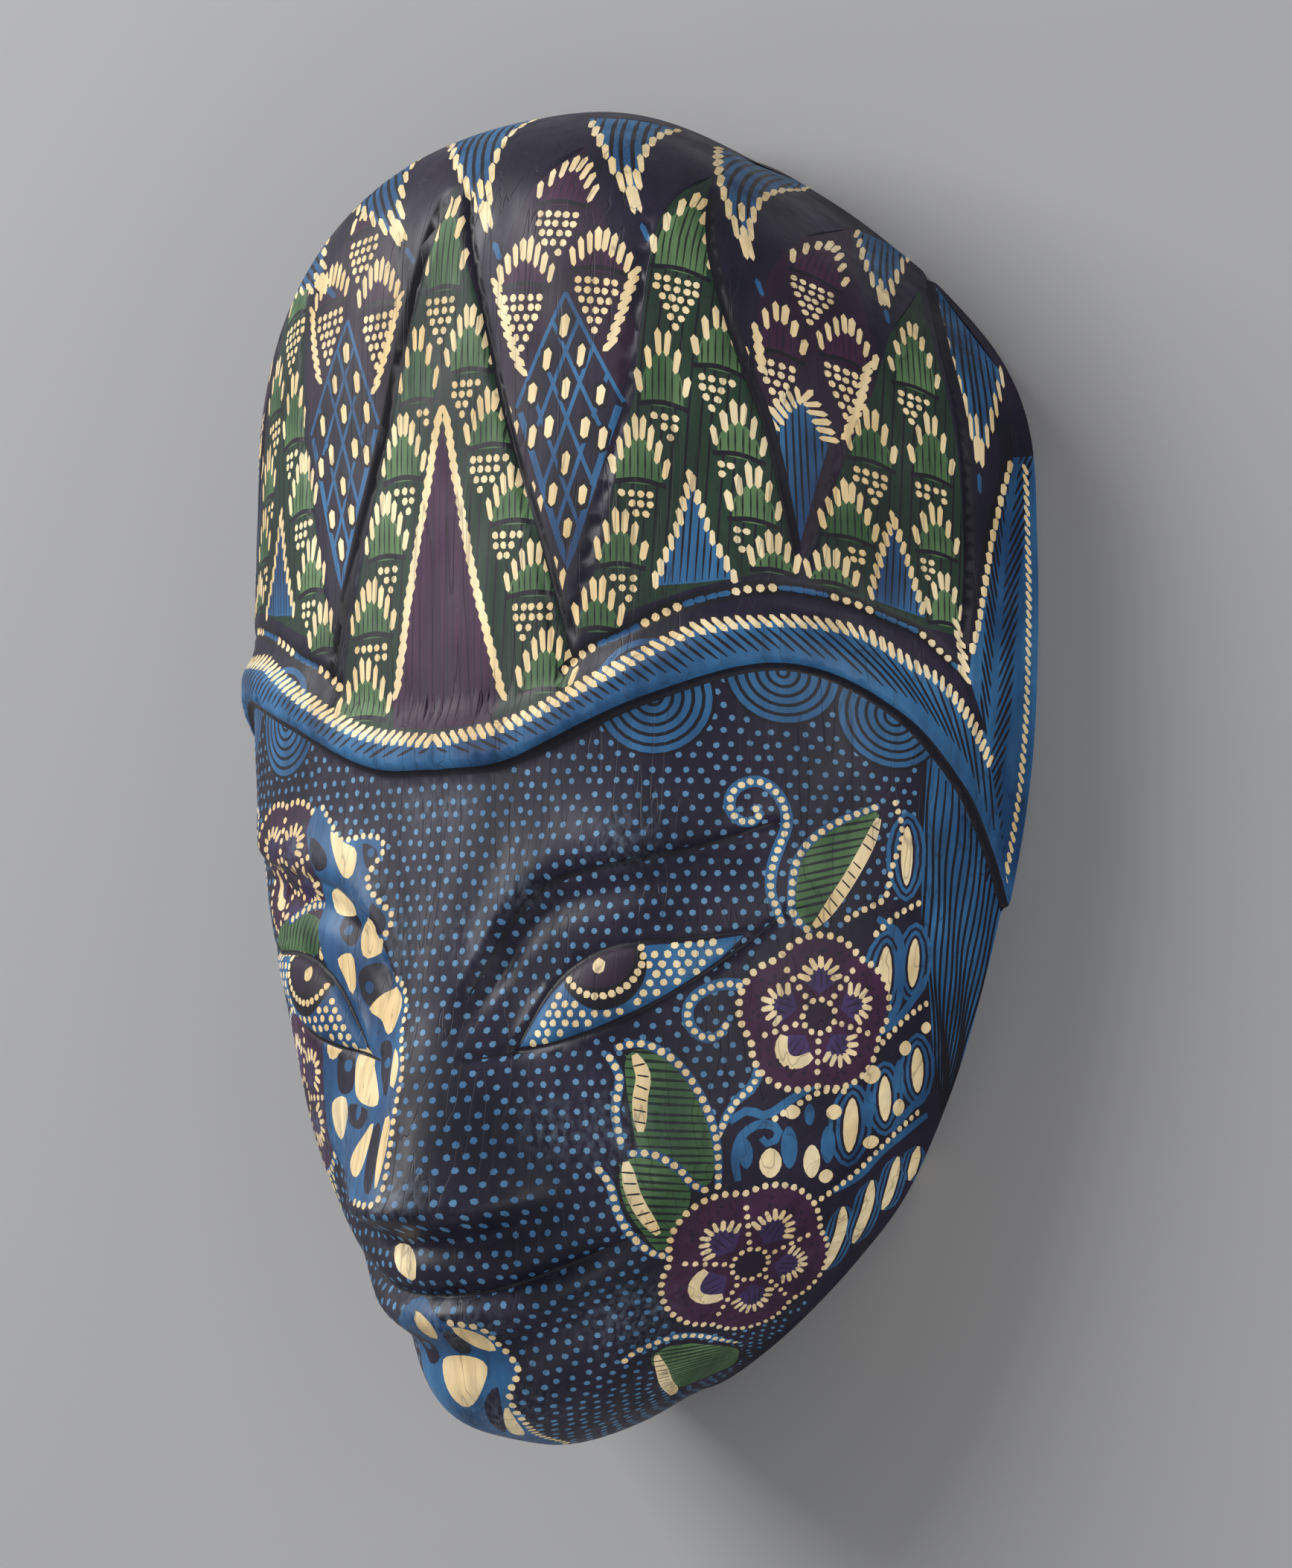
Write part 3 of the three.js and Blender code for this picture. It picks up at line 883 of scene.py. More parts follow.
LEAVES = [
    ([[98, -9], [90, -11], [84, -15], [80.5, -20], [79, -26], [79.5, -32], [82, -35], [87, -32],
      [92, -24], [96.5, -15]],
     [[98, -10.5], [95.5, -17], [91, -25], [86, -32], [83.5, -34.5]], 0.22,
     [[[98, -7.5], [90, -11], [84, -15], [80.3, -20], [79, -26], [79.3, -32], [83, -36]]]),
    ([[44, -59.5], [48, -58], [54, -62], [58, -68], [60, -75], [61, -82], [59, -89], [54, -89],
      [49, -82], [45, -80], [44, -72], [43.5, -64]],
     [[46, -59.5], [47.5, -64], [46.5, -69], [46, -75.5]], -0.15,
     [[[40.5, -59], [42.8, -64], [41.5, -71], [42, -78]],
      [[42, -58], [48, -57.5], [54, -61.5], [58, -68], [60.5, -76], [61, -83], [60.5, -89.5]]]),
    ([[41, -82], [46, -80.3], [52, -83], [55, -89], [54, -94], [50, -100], [47, -104], [43, -97],
      [40.5, -90]],
     [[42.5, -81.5], [43, -88], [44.5, -93], [47, -98.5]], -0.2,
     [[[36.5, -82], [38.8, -86], [39.5, -92], [41.5, -98], [45.5, -103], [49.5, -104.5]],
      [[43, -79.8], [48, -80.5], [52.5, -84], [55, -88], [58, -90]]]),
    ([[39, -131.5], [46, -129.5], [52, -133], [57, -139], [58, -145], [54, -152], [50, -157],
      [44, -160], [34, -158], [34, -150], [38, -141]],
     [[41, -131.5], [39.5, -138], [36, -146], [32, -155], [29, -160]], -0.35,
     [[[33, -130], [36, -128.3], [41, -127.5], [46, -127.5], [51.5, -129.5], [56, -133.5],
       [59.5, -139]]]),
]
FLOWERS = [(84.5, -54, 17, 0.9), (67, -111.5, 21, 0.35)]


def oval(p, q, length, width, angle, paint):
    a = np.arange(14) * math.tau / 14
    shape = np.c_[np.cos(a) * length / 2, np.sin(a) * width / 2]
    shape[:, 1] *= 1 + 0.25 * (1 - np.abs(np.cos(a)) ** 3)
    return area(turned(shape, p, q, angle), paint)


def ringed_oval(p, q, length, width, lean):
    """A cream oval inside a dark and a blue ring, as the slanted knife pattern has it."""
    angle = math.pi / 2 + lean
    shapes = oval(p, q, length + 7, width + 6.2, angle, "blue")
    shapes += oval(p, q, length + 5, width + 4.4, angle, "night")
    shapes += oval(p, q, length + 3.6, width + 3.0, angle, "blue")
    shapes += oval(p, q, length + 1.6, width + 1.3, angle, "night")
    return shapes + oval(p, q, length, width, angle, "cream")


PARANG_EDGE = [[92, -32], [100, -29], [110, -29], [111, -40], [114, -52], [117, -66], [121, -79]]
PARANG_INNER = [[80, -127], [86, -119], [88, -111], [86, -101], [80, -93], [71, -90], [61, -90],
                [61, -80], [66, -72], [74, -67], [84, -67], [92, -66], [97, -57], [96, -44]]
PARANG_RINGS = [(9.2, "blue"), (7.6, "night"), (6.4, "blue"), (5.0, "night"), (3.4, "cream")]


def parang_outline():
    """The ovals' field, taken past the back edge so that no outline runs along it."""
    return np.vstack([PARANG_EDGE, rim_line(-82, -128, -2.0), PARANG_INNER])


def parang():
    """Slanted rows of ovals and curls between the flowers and the hair."""
    shapes = area(parang_outline(), "night")
    for row in ((100.3, -46, 14, 3.2, -0.05), (108.6, -43, 11, 2.8, -0.03),
                (105.4, -19, 14, 2.6, 0.02), (92.3, -79.5, 13, 3.2, -0.05),
                (101.6, -74, 11, 3.0, 0.08), (111.5, -68, 11, 3.2, 0.1)):
        shapes += ringed_oval(*row)
    for p, q, length, width in ((97, -76, 9, 2.6), (105.5, -69, 8, 2.6), (77, -83, 10, 3.2),
                                (86.5, -83.5, 9, 3.0), (67, -83, 7, 2.6), (82, -76, 5, 2.0)):
        shapes += oval(p, q, length, width, math.pi / 2, "blue")
    for p, q, length, width in ((72.5, -86, 7, 4.2), (82.4, -87, 8, 3.4), (86, -91, 3.4, 3.0),
                                (88, -76, 3.6, 3.2), (78, -75, 3.2, 3.0), (106, -76.5, 4.2, 3.0),
                                (97.6, -68, 4.4, 4.0), (98, -84, 3.2, 3.8), (113.6, -58, 2.8, 2.6),
                                (107.2, -62.5, 3.6, 3.0)):
        shapes += oval(p, q, length, width, math.pi / 2, "cream")
    for line in ([[65, -89], [64.6, -83.7], [66.3, -79], [70.3, -76.8], [74.3, -78],
                  [74.3, -80.6], [71.6, -81.4], [70.7, -79.9]],
                 [[64, -75.5], [68, -73.4], [72, -75], [78, -72], [84, -69]],
                 [[88, -95], [95, -92], [101, -87], [108, -83], [116, -79]],
                 [[98, -59], [104, -56], [110, -50], [113, -46]],
                 [[98, -33], [104, -37], [105, -46], [104, -53], [99, -57]],
                 [[104, -82], [110, -77], [116, -73]]):
        shapes += ribbon(smooth(line, 2), 2.0, "blue", 0.3)
    for line in ([[91, -99.5], [91.3, -106], [90, -113], [88.3, -118.5]],
                 [[99, -93.5], [98.5, -100], [97, -107], [96, -111]],
                 [[107, -88.5], [106, -94], [104.8, -99], [103.6, -102]],
                 [[114, -86.5], [113, -91], [112, -95]]):
        for width, paint in PARANG_RINGS:
            shapes += ribbon(smooth(line, 2), width, paint, 0.75)
    for line in ([[94, -65], [100, -61], [107, -55.5], [114, -52]],
                 [[84, -97], [92, -92.5], [100, -86.5], [107, -81.5], [113, -78]],
                 [[90, -33.5], [95, -31], [100, -28.5], [101.5, -22], [104, -14], [101.5, -5]],
                 [[97, -37], [103, -32.5], [110, -29.5]],
                 [[73, -76.5], [79, -73.5], [85, -71], [92, -71.5]]):
        shapes += dots_along(smooth(line, 1.5), 2.2, SMALL_DOT, "cream")
    return shapes


STEMS = [
    [[71, -8.5], [72.6, -10], [71, -12], [68, -11.3], [66.6, -8], [68, -4.6], [72, -3], [75.6, -5],
     [77.7, -9], [78, -13], [76.3, -18], [75, -22], [74.6, -27], [76, -31], [77, -34]],
    [[65, -54], [63, -56.6], [60, -57], [57.5, -54.5], [57, -51], [59, -48], [63, -46.2],
     [67, -46.2], [70.6, -48.6], [72.4, -53], [73, -58], [71.6, -63], [69.5, -68], [66, -71],
     [63, -75], [61.5, -79]],
]


def web():
    """The blue web with pale and dark patches, beside the nose and on the chin."""
    shapes = area(smooth(WEB, 2.5, closed=True), "blue")
    shapes += area(smooth(CHIN_WEB, 2.5, closed=True), "blue")
    for patch in PATCHES_DARK:
        shapes += blob(patch, "night", 1.5)
    for patch in PATCHES_CREAM:
        shapes += blob(patch, "cream", 1.5)
    for p, q, radius in ((-21, -44, 1.4), (-26.5, -60.5, 1.4), (-28, -32, 1.1), (-19, -70, 1.8),
                         (-8, -60, 1.2), (-7, -118, 1.3), (-19, -16, 1.0)):
        shapes += dot(p, q, radius, "blue", 9)
    for line in (WEB[:22], CHIN_WEB[1:10]):
        shapes += dots_along(smooth(line, 1.5), 2.1, FINE_DOT, "cream")
    return shapes


WEB = [[-36, -5], [-32, -9], [-28, -13], [-22, -12.5], [-17, -13], [-15.5, -15.5], [-18.5, -19.5],
       [-19, -22.5], [-16, -26], [-12.5, -29], [-12.6, -32], [-15, -36], [-12, -41], [-7, -44],
       [-4.8, -48], [-5, -53], [-4, -57], [-2.4, -62], [-2.6, -70], [-2.2, -78], [-3, -87],
       [-12, -87], [-24, -84], [-34, -79], [-36, -68], [-36, -56], [-34, -44], [-38, -30],
       [-36, -20], [-40, -10]]
CHIN_WEB = [[-4, -107], [3, -111.5], [9, -113], [10.5, -118], [12.8, -124], [9.5, -129],
            [8.5, -137], [6, -146], [4, -158], [0, -160], [-4, -146], [-10, -132], [-14, -122],
            [-10, -112]]
PATCHES_CREAM = [
    [[-31.5, -11], [-27, -13.5], [-23, -15.5], [-23, -20.5], [-25.5, -21], [-29, -16.5]],
    [[-34, -25.5], [-31, -23], [-26, -26], [-25, -28.5], [-29, -29], [-33, -28]],
    [[-24, -31.5], [-19, -29.5], [-16, -32], [-18, -36], [-22, -38], [-24, -35]],
    [[-30.5, -38], [-26, -37], [-25, -42], [-26, -45.5], [-28.5, -42]],
    [[-21, -48.5], [-14, -44.5], [-9, -44.5], [-6.5, -48], [-10, -54], [-15, -51]],
    [[-33.5, -55], [-29.5, -52], [-27, -54.5], [-31, -59], [-34, -58.5]],
    [[-23.5, -57], [-19, -57.5], [-12.5, -62], [-8.5, -68], [-14, -68.5], [-22.5, -66]],
    [[-32.5, -68.5], [-27.5, -67], [-26, -71], [-29, -76], [-32, -74]],
    [[-21, -80], [-13, -74.5], [-9, -72], [-10.5, -80.5], [-14, -82.5]],
    [[-5, -71], [-3.4, -71.5], [-3.2, -78], [-4, -85], [-5.4, -79]],
    [[-6.2, -57], [-4, -60], [-4, -65], [-5.6, -64]],
    [[-9, -97], [-5, -96.5], [-2, -99.5], [-3, -103.5], [-7, -101.5]],
    [[-4, -109.5], [0, -112], [-1, -115.5], [-3.4, -114.5]],
    [[4, -112.5], [8.4, -114.5], [9.5, -119.5], [5.4, -117.5]],
    [[-3.4, -121], [3, -120], [7, -122.5], [4, -128], [0, -130.5], [-3, -127]],
    [[6, -134], [8.2, -131], [7, -138], [4.4, -143.5], [3.4, -141]],
]
PATCHES_DARK = [
    [[-38, -12], [-32.5, -15], [-31, -18.5], [-35.5, -19]],
    [[-21.5, -14], [-17, -16], [-19.5, -19.5]],
    [[-29, -27.5], [-24.5, -30], [-26, -35.5], [-30.5, -32]],
    [[-17.5, -26.5], [-13.5, -30], [-14.5, -33.5], [-17.5, -31]],
    [[-24, -41], [-18.5, -39], [-14.5, -43.5], [-19, -48], [-23, -46.5]],
    [[-30, -58], [-25, -57.5], [-24, -65], [-29.5, -66]],
    [[-13, -56], [-7.5, -56.5], [-6, -67], [-9.5, -62.5]],
    [[-25, -68.5], [-13, -69.5], [-15, -73], [-24.5, -72.5]],
    [[-9, -74], [-6.2, -72.5], [-5.4, -85], [-8.6, -83]],
    [[1, -114.5], [3.6, -113.5], [4.6, -119], [1, -119]],
    [[4, -130.5], [8, -126.5], [6.4, -133], [2.6, -140]],
    [[-10, -114], [-5, -116], [-4.5, -121], [-9, -122]],
]


def cheek(stems):
    """The side of the face: stems, slanted ovals, leaves and flowers."""
    shapes = [s for stem in stems for s in spiral(stem)] + parang()
    for row in LEAVES:
        shapes += leaf(*row)
    for row in FLOWERS:
        shapes += flower(*row)
    return shapes


def left_flowers():
    """Two flowers and a leaf behind the web, on the wearer's right."""
    shapes = flower(-50, -20, 17, 0.3) + flower(-50, -68, 19, 1.3)
    shapes += leaf([[-36, -31], [-45, -28], [-58, -31], [-66, -36], [-60, -38], [-48, -36],
                    [-38, -37]],
                   [[-35.5, -30], [-34.5, -34], [-37, -38]], 1.2,
                   [[[-34, -27], [-42, -26.5], [-52, -30]]], 2.6)
    return shapes


def ring(p, q, radius):
    """A plain round outline."""
    angle = np.linspace(0, math.tau, 25)[:-1]
    return np.c_[p + radius * np.cos(angle), q + radius * np.sin(angle)]


def covers_of_the_dots():
    """Outlines of what is painted over the dotted ground, so that no dot is wasted there."""
    cheek = [smooth(outline, 3, closed=True) for outline, *_ in LEAVES]
    cheek += [ring(p, q, radius + 2) for p, q, radius, _ in FLOWERS]
    cheek += [parang_outline()]
    eye_cover = np.array([[19, -58], [28, -46], [38, -37.5], [48, -35.5], [72, -34.5], [58, -46],
                          [40, -55.5], [29, -58]], float)
    fans = [ring(*fan) for fan in FANS]
    shared = cheek + [eye_cover] + fans
    left = [np.array(WEB, float), np.array(CHIN_WEB, float), ring(-50, -20, 18), ring(-50, -68, 20)]
    return shared + [outline * [-1, 1] for outline in shared] + left


def face():
    shapes = ground_dots(covers_of_the_dots())
    # Painted shade: a dark line along the carved brow crease.
    shapes += both(ribbon(smooth(BROW + [[84, -10]], 2.5), 1.2, "ink", 0.8))
    lips = smooth([[-p, q] for p, q in MOUTH[:0:-1]] + MOUTH, 2.5)
    shapes += ribbon(lips, 0.9, "ink", 0.8)
    shapes += mirror(cheek(STEMS[:1]))
    shapes += left_flowers() + web()
    return shapes + both(painted_eye() + hair() + scallops()) + cheek(STEMS)


# ---------------------------------------------------------------- the mesh

GROOVES = []


def cut_grooves():
    """Gouge marks: the lids, the brows, the lips and the edges of the headdress's leaves."""
    for line, width, depth in (
            (EYE_LID, 0.9, 0.8), (EYE_FOOT, 0.9, 0.9), (BROW, 1.1, 1.0), (MOUTH, 1.0, 0.7),
            *((edge, 1.1, 0.9) for edge in LEAF_EDGES),
            ([[-3, 120], [-9, 100], [-15, 78], [-21, 56], [-27, 34], [-31, 16]], 0.8, 0.5),
            ([[48, 118], [47, 96], [44, 72], [38, 48], [33, 27]], 0.8, 0.5),
            ([[99, 118], [96, 98], [90, 74], [83, 48]], 0.8, 0.5),
            (CORD, 1.2, 0.6)):
        line = smooth(line, 2.0)
        GROOVES.append((line, width, depth))
        GROOVES.append((line * [-1, 1], width, depth))


def boundary():
    """The front's outline in the chart, anticlockwise, at about even steps."""
    right = np.c_[ROW_LENGTH, ROW_Q]
    left = right[::-1] * [-1, 1]
    loop = np.vstack([right, left[1:]])
    return straight_even(loop, 2.4)


def straight_even(line, step):
    length = np.r_[0, np.cumsum(np.linalg.norm(np.diff(line, axis=0), axis=1))]
    even = np.linspace(0, length[-1], int(length[-1] / step) + 1)[:-1]
    return np.c_[np.interp(even, length, line[:, 0]), np.interp(even, length, line[:, 1])]


def filling(taken, spacing, clear):
    """Points for an even mesh inside the outline, away from the points already there."""
    p = np.arange(-145, 145, spacing)
    q = np.arange(Q_LOW, Q_HIGH, spacing * 0.87)
    grid = np.stack(np.meshgrid(p, q), -1)
    grid[1::2, :, 0] += spacing / 2
    points = grid.reshape(-1, 2) + RANDOM.uniform(-0.14, 0.14, (grid.size // 2, 2)) * spacing
    points = points[np.abs(points[:, 0]) < half_length(points[:, 1]) - clear]
    cells = {}
    for x, y in taken:
        cells.setdefault((int(x // clear), int(y // clear)), []).append((x, y))
    kept = []
    for x, y in points:
        i, j = int(x // clear), int(y // clear)
        near = (c for a in (-1, 0, 1) for b in (-1, 0, 1) for c in cells.get((i + a, j + b), ()))
        if all((x - c[0]) ** 2 + (y - c[1]) ** 2 > clear ** 2 for c in near):
            kept.append((x, y))
    return np.array(kept)


def anticlockwise(outline):
    """The triangulation needs every outline to run this way."""
    x, y = outline.T
    return outline if np.dot(x, np.roll(y, -1)) > np.dot(y, np.roll(x, -1)) else outline[::-1]


def triangulate(painted, spacing=2.0, clear=0.95):
    """Chart points and triangles of the whole front, and each triangle's paint."""
    loop = boundary()
    outlines = [anticlockwise(outline) for outline in [loop] + [o for o, _ in painted]]
    points = np.vstack(outlines)
    starts = np.cumsum([0] + [len(o) for o in outlines])
    faces = [list(range(a, b)) for a, b in zip(starts[:-1], starts[1:])]
    fill = filling(points, spacing, clear)
    everything = [Vector(row) for row in np.vstack([points, fill]).tolist()]
    out, _, triangles, _, _, sources = delaunay_2d_cdt(everything, [], faces, 0, 1e-4, True)
    out = np.array([tuple(point) for point in out])
    pairs = [(t, s) for t, s in zip(triangles, sources) if len(t) == 3 and s]
    triangles = np.array([t for t, _ in pairs])
    within, top = topmost([s for _, s in pairs], out[triangles].mean(1), outlines)
    paints = ["night"] + [paint for _, paint in painted]
    used, kept = np.unique(triangles[within], return_inverse=True)
    return out[used], kept.reshape(-1, 3), [paints[k] for k in top[within]]


def topmost(sources, centres, outlines):
    """Whether each triangle is in the first outline, and the last outline that holds it.

    An outline that claims triangles beyond its own box is checked against their centres.
    """
    owner = np.repeat(np.arange(len(sources)), [len(s) for s in sources])
    claim = np.concatenate(sources).astype(int)
    order = np.argsort(claim, kind="stable")
    starts = np.searchsorted(claim[order], np.arange(len(outlines) + 1))
    true = np.ones(len(claim), bool)
    for outline, first, last in zip(outlines, starts[:-1], starts[1:]):
        rows = order[first:last]
        at = centres[owner[rows]]
        if np.any(at < outline.min(0) - 0.01) or np.any(at > outline.max(0) + 0.01):
            true[rows] = inside(outline, at)
    within, top = np.zeros(len(sources), bool), np.zeros(len(sources), int)
    within[owner[true & (claim == 0)]] = True
    np.maximum.at(top, owner[true], claim[true])
    return within, top


HOLLOW_ROWS, HOLLOW_COLUMNS = 96, 44
SHRINK = np.array([1 - WALL_SIDE / HALF, 1 - WALL_TOP / STATIONS[0, 0], 1 - WALL_FRONT / DEPTH])


def hollow():
    """Grid of the hollow's points, with shallow gouge marks, and its rows' q."""
    rows = np.linspace(Q_LOW, Q_HIGH, HOLLOW_ROWS)
    share = np.linspace(-1, 1, HOLLOW_COLUMNS + 1)
    q = np.repeat(rows[:, None], len(share), 1)
    p = half_length(q) * share
    points = look_up(SKIN, p, q)
    marks = 0.45 * np.abs(np.sin(p * 0.27 + 2 * np.sin(q * 0.11))) * np.abs(np.cos(q * 0.16))
    points = (points - look_up(SKIN_NORMAL, p, q) * marks[..., None]) * SHRINK
    points[:, [0, -1], 2] = 0
    points[[0, -1], :, 2] = 0
    return points, rows


def strip(outer, inner):
    """Triangles between two rows of (key, vertex), which run the same way."""
    faces, i, j = [], 0, 0
    while i < len(outer) - 1 or j < len(inner) - 1:
        next_outer = outer[i + 1][0] if i < len(outer) - 1 else 1e9
        next_inner = inner[j + 1][0] if j < len(inner) - 1 else 1e9
        if next_outer <= next_inner:
            faces.append((outer[i][1], outer[i + 1][1], inner[j][1]))
            i += 1
        else:
            faces.append((outer[i][1], inner[j + 1][1], inner[j][1]))
            j += 1
    return faces


def front_rim(chart, triangles):
    """The front's outline vertices on each side, from the chin to the crown."""
    edges = {}
    for a, b, c in triangles:
        for edge in ((a, b), (b, c), (c, a)):
            edges[edge] = True
    rim = sorted({v for edge in edges if edge[::-1] not in edges for v in edge})
    ends = [min(rim, key=lambda v: chart[v, 1]), max(rim, key=lambda v: chart[v, 1])]
    sides = []
    for sign in (1, -1):
        side = [v for v in rim if v not in ends and chart[v, 0] * sign > 0]
        side.sort(key=lambda v: chart[v, 1])
        chain = [ends[0], *side, ends[1]]
        sides.append([(chart[v, 1], v) for v in chain])
    return sides


def mask_arrays(painted):
    """Vertices, faces, paints, normals at the corners and the chart place of every corner."""
    chart, triangles, paints = triangulate(painted)
    front = carved(chart[:, 0], chart[:, 1])
    normals = carved_normals(chart[:, 0], chart[:, 1])
    inner, rows = hollow()
    base = len(front)
    vertices = np.vstack([front, inner.reshape(-1, 3)])
    columns = HOLLOW_COLUMNS + 1
    at = np.arange(len(inner) * columns).reshape(len(inner), columns) + base
    at[0], at[-1] = at[0, 0], at[-1, 0]
    inner_normals = -grid_normals(inner).reshape(-1, 3)
    faces = [tuple(t) for t in triangles]
    kinds = [0] * len(faces)
    for i in range(len(inner) - 1):
        for j in range(columns - 1):
            face = [at[i, j], at[i + 1, j], at[i + 1, j + 1], at[i, j + 1]]
            face = list(dict.fromkeys(face))
            if len(face) > 2:
                faces.append(tuple(face))
                kinds.append(1)
    sides = front_rim(chart, triangles)
    for side, column in zip(sides, (-1, 0)):
        inside_row = [(q, at[i, column]) for i, q in enumerate(rows)]
        for face in strip(side, inside_row):
            face = tuple(dict.fromkeys(face))
            if len(face) == 3:
                faces.append(face[::-1] if column else face)
                kinds.append(2)
    normals = np.vstack([normals, inner_normals])
    used = np.zeros(len(vertices), bool)
    used[[v for face in faces for v in face]] = True
    number = np.cumsum(used) - 1
    faces = [tuple(int(number[v]) for v in face) for face in faces]
    return vertices[used], faces, kinds, paints, normals[used], chart


def build_mask(painted):
    vertices, faces, kinds, paints, normals, chart = mask_arrays(painted)
    low, high = vertices.min(0), vertices.max(0)
    vertices[:, 2] *= min(1.0, CAD_HIGH.z / MM / high[2])
    shift = (low[1] + high[1]) / 2 * MM - (CAD_LOW.y + CAD_HIGH.y) / 2
    mesh = bpy.data.meshes.new("mask_painted")
    mesh.from_pydata((vertices * MM - [0, shift, 0]).tolist(), [], faces)
    names = list(PAINTS)
    for name in names:
        mesh.materials.append(paint_material(name, *PAINTS[name]))
    index = [names.index(p) for p in paints]
    index += [names.index("wood")] * (len(faces) - len(paints))
    mesh.polygons.foreach_set("material_index", index)
    corners = [v for f in faces for v in f]
    kind = np.repeat(kinds, [len(f) for f in faces])
    corner_normals = normals[corners]
    corner_normals[kind == 2] = [0, 0, -1]
    unwrap(mesh, vertices[corners], kind, corners, chart)
    # Share of rubbed dye and painted highlight at each front point, read by the paints.
    worn_and_highlit = mesh.attributes.new("worn_and_highlit", "FLOAT", "POINT")
    values = np.zeros(len(vertices))
    values[:len(chart)] = wear_and_highlight(chart[:, 0], chart[:, 1])
    worn_and_highlit.data.foreach_set("value", values)
    mesh.polygons.foreach_set("use_smooth", [True] * len(faces))
    mesh.normals_split_custom_set(corner_normals.tolist())
    mesh.validate()
    mask = bpy.data.objects.new("mask_painted", mesh)
    bpy.context.scene.collection.objects.link(mask)
    return mask


def unwrap(mesh, points, kind, corners, chart):
    """The bake's map: the front as drawn, and the hollow and the rim beside it."""
    layer = mesh.uv_layers.new(name="OFBake")
    uv = np.zeros((len(kind), 2))
    drawn = kind == 0
    place = chart[np.array(corners)[drawn]]
    uv[drawn] = (place - [-146, Q_LOW - 2]) * [0.0024, 0.0024]
    uv[kind == 1] = points[kind == 1, :2] * [0.00135, 0.0016] + [0.85, 0.25]
    uv[kind == 2] = points[kind == 2, :2] * [0.00135, 0.0016] + [0.85, 0.74]
    layer.data.foreach_set("uv", uv.ravel())


def wear_and_highlight(p, q):
    """Where handling has rubbed the dye, with a painted highlight on the same raised forms: the nose,
    the lips, the brows and the cheekbones.
    """
    spots = ((40, -75, 9, 8), (30, -74, 7, 6), (44, -15, 8, 5), (4, -7, 6, 3), (0, -86, 8, 4),
             (20, -25, 6, 4), (0, -112, 14, 5), (9, -34, 4, 6), (38, -118, 10, 8), (0, -134, 14, 7))
    value = np.zeros(len(p))
    for x, y, wide, tall in spots:
        value = np.maximum(value, bump((np.abs(p) - x) / wide, 1) * bump((q - y) / tall, 1))
    return value


# ---------------------------------------------------------------- materials

# Each paint's darker and lighter colour, as the sRGB values of a swatch, and its roughness.
PAINTS = {
    "night": ((13, 12, 30), (37, 30, 52), 0.5),
    "ink": ((11, 10, 20), (26, 23, 36), 0.5),
    "plum": ((46, 20, 46), (72, 36, 68), 0.55),
    "plum_dark": ((31, 18, 36), (49, 30, 53), 0.55),
    "violet": ((50, 36, 74), (76, 58, 106), 0.55),
    "blue": ((22, 62, 104), (56, 112, 158), 0.5),
    "sky": ((60, 106, 148), (104, 150, 182), 0.5),
    "cream": ((226, 196, 142), (252, 232, 188), 0.6),
    "leaf": ((50, 84, 50), (98, 130, 86), 0.55),
    "leaf_dark": ((22, 40, 32), (38, 62, 46), 0.55),
    "moss": ((20, 28, 28), (34, 44, 38), 0.55),
    "wood": ((150, 118, 80), (196, 164, 120), 0.7),
}


def linear(colour):
    def channel(c):
        c /= 255
        return c / 12.92 if c <= 0.04045 else ((c + 0.055) / 1.055) ** 2.4
    return [channel(c) for c in colour] + [1.0]


class Nodes:
    """Short calls for adding and linking nodes in a tree."""

    def __init__(self, tree):
        self.tree = tree

    def add(self, kind, settings=(), **inputs):
        node = self.tree.nodes.new(kind)
        for name, value in settings:
            setattr(node, name, value)
        for name, value in inputs.items():
            socket = node.inputs[int(name[1:])] if name[1:].isdigit() else node.inputs[name]
            if isinstance(value, bpy.types.NodeSocket):
                self.tree.links.new(value, socket)
            else:
                socket.default_value = value
        return node

    def noise(self, place, scale, stretch, detail):
        mapping = self.add("ShaderNodeMapping", _0=place, Scale=stretch)
        return self.add("ShaderNodeTexNoise", _0=mapping.outputs[0], Scale=scale,
                        Detail=detail).outputs["Fac"]

    def ramp(self, value, low, high):
        node = self.add("ShaderNodeMapRange", _0=value)
        node.inputs["From Min"].default_value = low
        node.inputs["From Max"].default_value = high
        return node.outputs[0]

    def math(self, operation, a, b):
        return self.add("ShaderNodeMath", [("operation", operation)], _0=a, _1=b).outputs[0]

    def mix(self, share, a, b, blend="MIX"):
        node = self.add("ShaderNodeMix", [("data_type", "RGBA"), ("blend_type", blend)],
                        _0=share, _6=a, _7=b)
        return node.outputs[2]


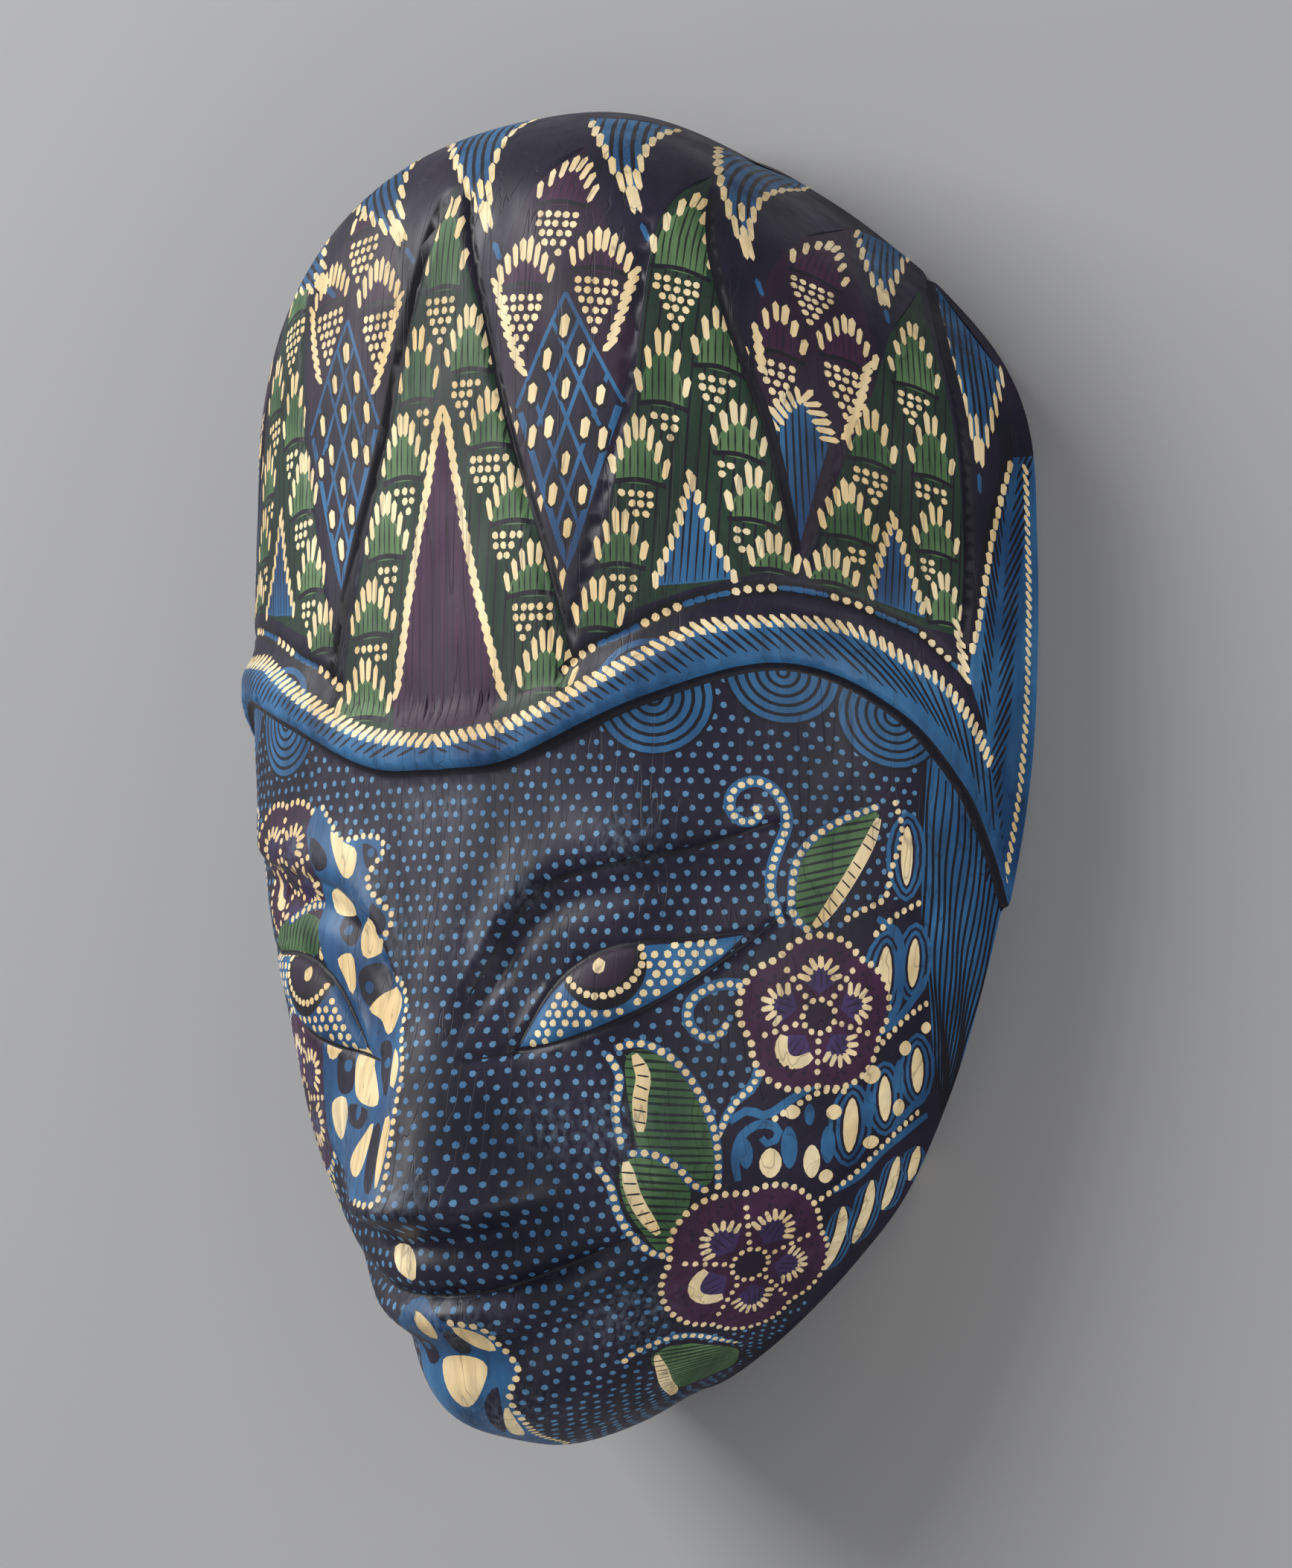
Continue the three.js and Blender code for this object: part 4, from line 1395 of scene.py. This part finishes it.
def paint_material(name, dark, light, roughness):
    """Dye soaked into carved wood: cloudy colour, fibres, fine cracks, rubbed places with a painted
    highlight on the raised forms, wax.
    """
    material = bpy.data.materials.new(name)
    material.use_nodes = True
    tree = material.node_tree
    tree.nodes.clear()
    n = Nodes(tree)
    place = n.add("ShaderNodeTexCoord").outputs["Object"]
    cloud = n.noise(place, 55, (1, 0.6, 1), 4)
    colour = n.mix(n.ramp(cloud, 0.36, 0.66), linear(dark), linear(light))
    fibre = n.noise(place, 420, (1, 0.09, 0.7), 3)
    streak = n.mix(n.ramp(fibre, 0.3, 0.7), (0.62, 0.62, 0.62, 1), (1.28, 1.28, 1.28, 1))
    colour = n.mix(0.55, colour, streak, "MULTIPLY")
    crack = n.noise(place, 210, (1, 0.05, 0.6), 2)
    split = n.ramp(n.math("ABSOLUTE", n.math("SUBTRACT", crack, 0.5), 0.0), 0.0, 0.012)
    depth = n.math("MULTIPLY", n.math("SUBTRACT", 1.0, split), 0.45)
    colour = n.mix(depth, colour, (0.01, 0.009, 0.012, 1))
    # Rubbed dye and painted highlight: pale grey-blue mixed in on the raised forms.
    rub_and_highlight = n.add("ShaderNodeAttribute", [("attribute_name", "worn_and_highlit")]).outputs["Fac"]
    grit = n.ramp(n.noise(place, 900, (1, 0.5, 1), 3), 0.4, 0.9)
    colour = n.mix(n.math("MULTIPLY", rub_and_highlight, n.math("MULTIPLY", grit, 0.55)), colour,
                   (0.2, 0.26, 0.34, 1))
    height = n.math("ADD", n.math("MULTIPLY", fibre, 0.6), n.math("MULTIPLY", split, 0.5))
    normal = n.add("ShaderNodeBump", Height=height, Strength=0.32, Distance=0.0004).outputs[0]
    sheen = n.ramp(n.noise(place, 130, (1, 0.4, 1), 3), 0.3, 0.7)
    rough = n.add("ShaderNodeMapRange", _0=sheen)
    rough.inputs["To Min"].default_value = roughness - 0.1
    rough.inputs["To Max"].default_value = roughness + 0.12
    shader = n.add("ShaderNodeBsdfPrincipled", Roughness=rough.outputs[0], Normal=normal)
    tree.links.new(colour, shader.inputs["Base Color"])
    shader.inputs["Specular IOR Level"].default_value = 0.33
    output = n.add("ShaderNodeOutputMaterial")
    tree.links.new(shader.outputs[0], output.inputs[0])
    return material


# ---------------------------------------------------------------- floor, lights and camera

def add_floor():
    bpy.ops.mesh.primitive_plane_add(size=6, location=(0, 0, 0))
    floor = bpy.context.object
    floor.name = "floor"
    material = bpy.data.materials.new("floor_paper")
    material.use_nodes = True
    shader = material.node_tree.nodes["Principled BSDF"]
    shader.inputs["Base Color"].default_value = (0.34, 0.34, 0.345, 1)
    shader.inputs["Roughness"].default_value = 0.9
    floor.data.materials.append(material)


def add_light(name, place, size, power):
    light = bpy.data.lights.new(name, "AREA")
    light.size, light.energy = size, power
    lamp = bpy.data.objects.new(name, light)
    lamp.location = place
    lamp.rotation_euler = (Vector((0, 0, 0.04)) - Vector(place)).to_track_quat("-Z", "Y").to_euler()
    bpy.context.scene.collection.objects.link(lamp)


def add_lights():
    add_light("key_light", (-1.0, 0.75, 1.05), 0.9, 27)
    add_light("side_light", (1.3, -0.3, 0.5), 1.1, 8.5)
    world = bpy.data.worlds.new("studio")
    bpy.context.scene.world = world
    world.use_nodes = True
    background = world.node_tree.nodes["Background"]
    background.inputs["Color"].default_value = (0.96, 0.97, 1.0, 1)
    background.inputs["Strength"].default_value = 0.4
    bpy.context.scene.view_settings.view_transform = "Standard"


CAMERA_TURN, CAMERA_RISE = math.radians(40), math.radians(-4)
CAMERA_DISTANCE, CAMERA_LENS = 1.1, 145.4
CAMERA_SHIFT = (0.0728, -0.0024)


def add_camera():
    """Looks down on the lying mask from its left side, with the crown up."""
    away = Vector((math.sin(CAMERA_TURN) * math.cos(CAMERA_RISE), math.sin(CAMERA_RISE),
                   math.cos(CAMERA_TURN) * math.cos(CAMERA_RISE)))
    up = (Vector((0, 1, 0)) - away * away.y).normalized()
    data = bpy.data.cameras.new("camera")
    data.sensor_fit, data.sensor_width, data.lens = "HORIZONTAL", 36, CAMERA_LENS
    data.shift_x, data.shift_y = CAMERA_SHIFT
    camera = bpy.data.objects.new("camera", data)
    turn = np.array([up.cross(away), up, away]).T
    camera.matrix_world = Matrix([[*row, 0] for row in turn.tolist()] + [[0, 0, 0, 1]])
    camera.location = Vector((0, -CENTRE_Y * MM, 0.045)) + away * CAMERA_DISTANCE
    bpy.context.scene.collection.objects.link(camera)
    bpy.context.scene.camera = camera


# ---------------------------------------------------------------- putting it together

CENTRE_Y = 2.22

add_camera()
add_lights()
add_floor()
cut_grooves()
mask = build_mask(face() + headdress())
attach(mask, "root")
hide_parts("mask")
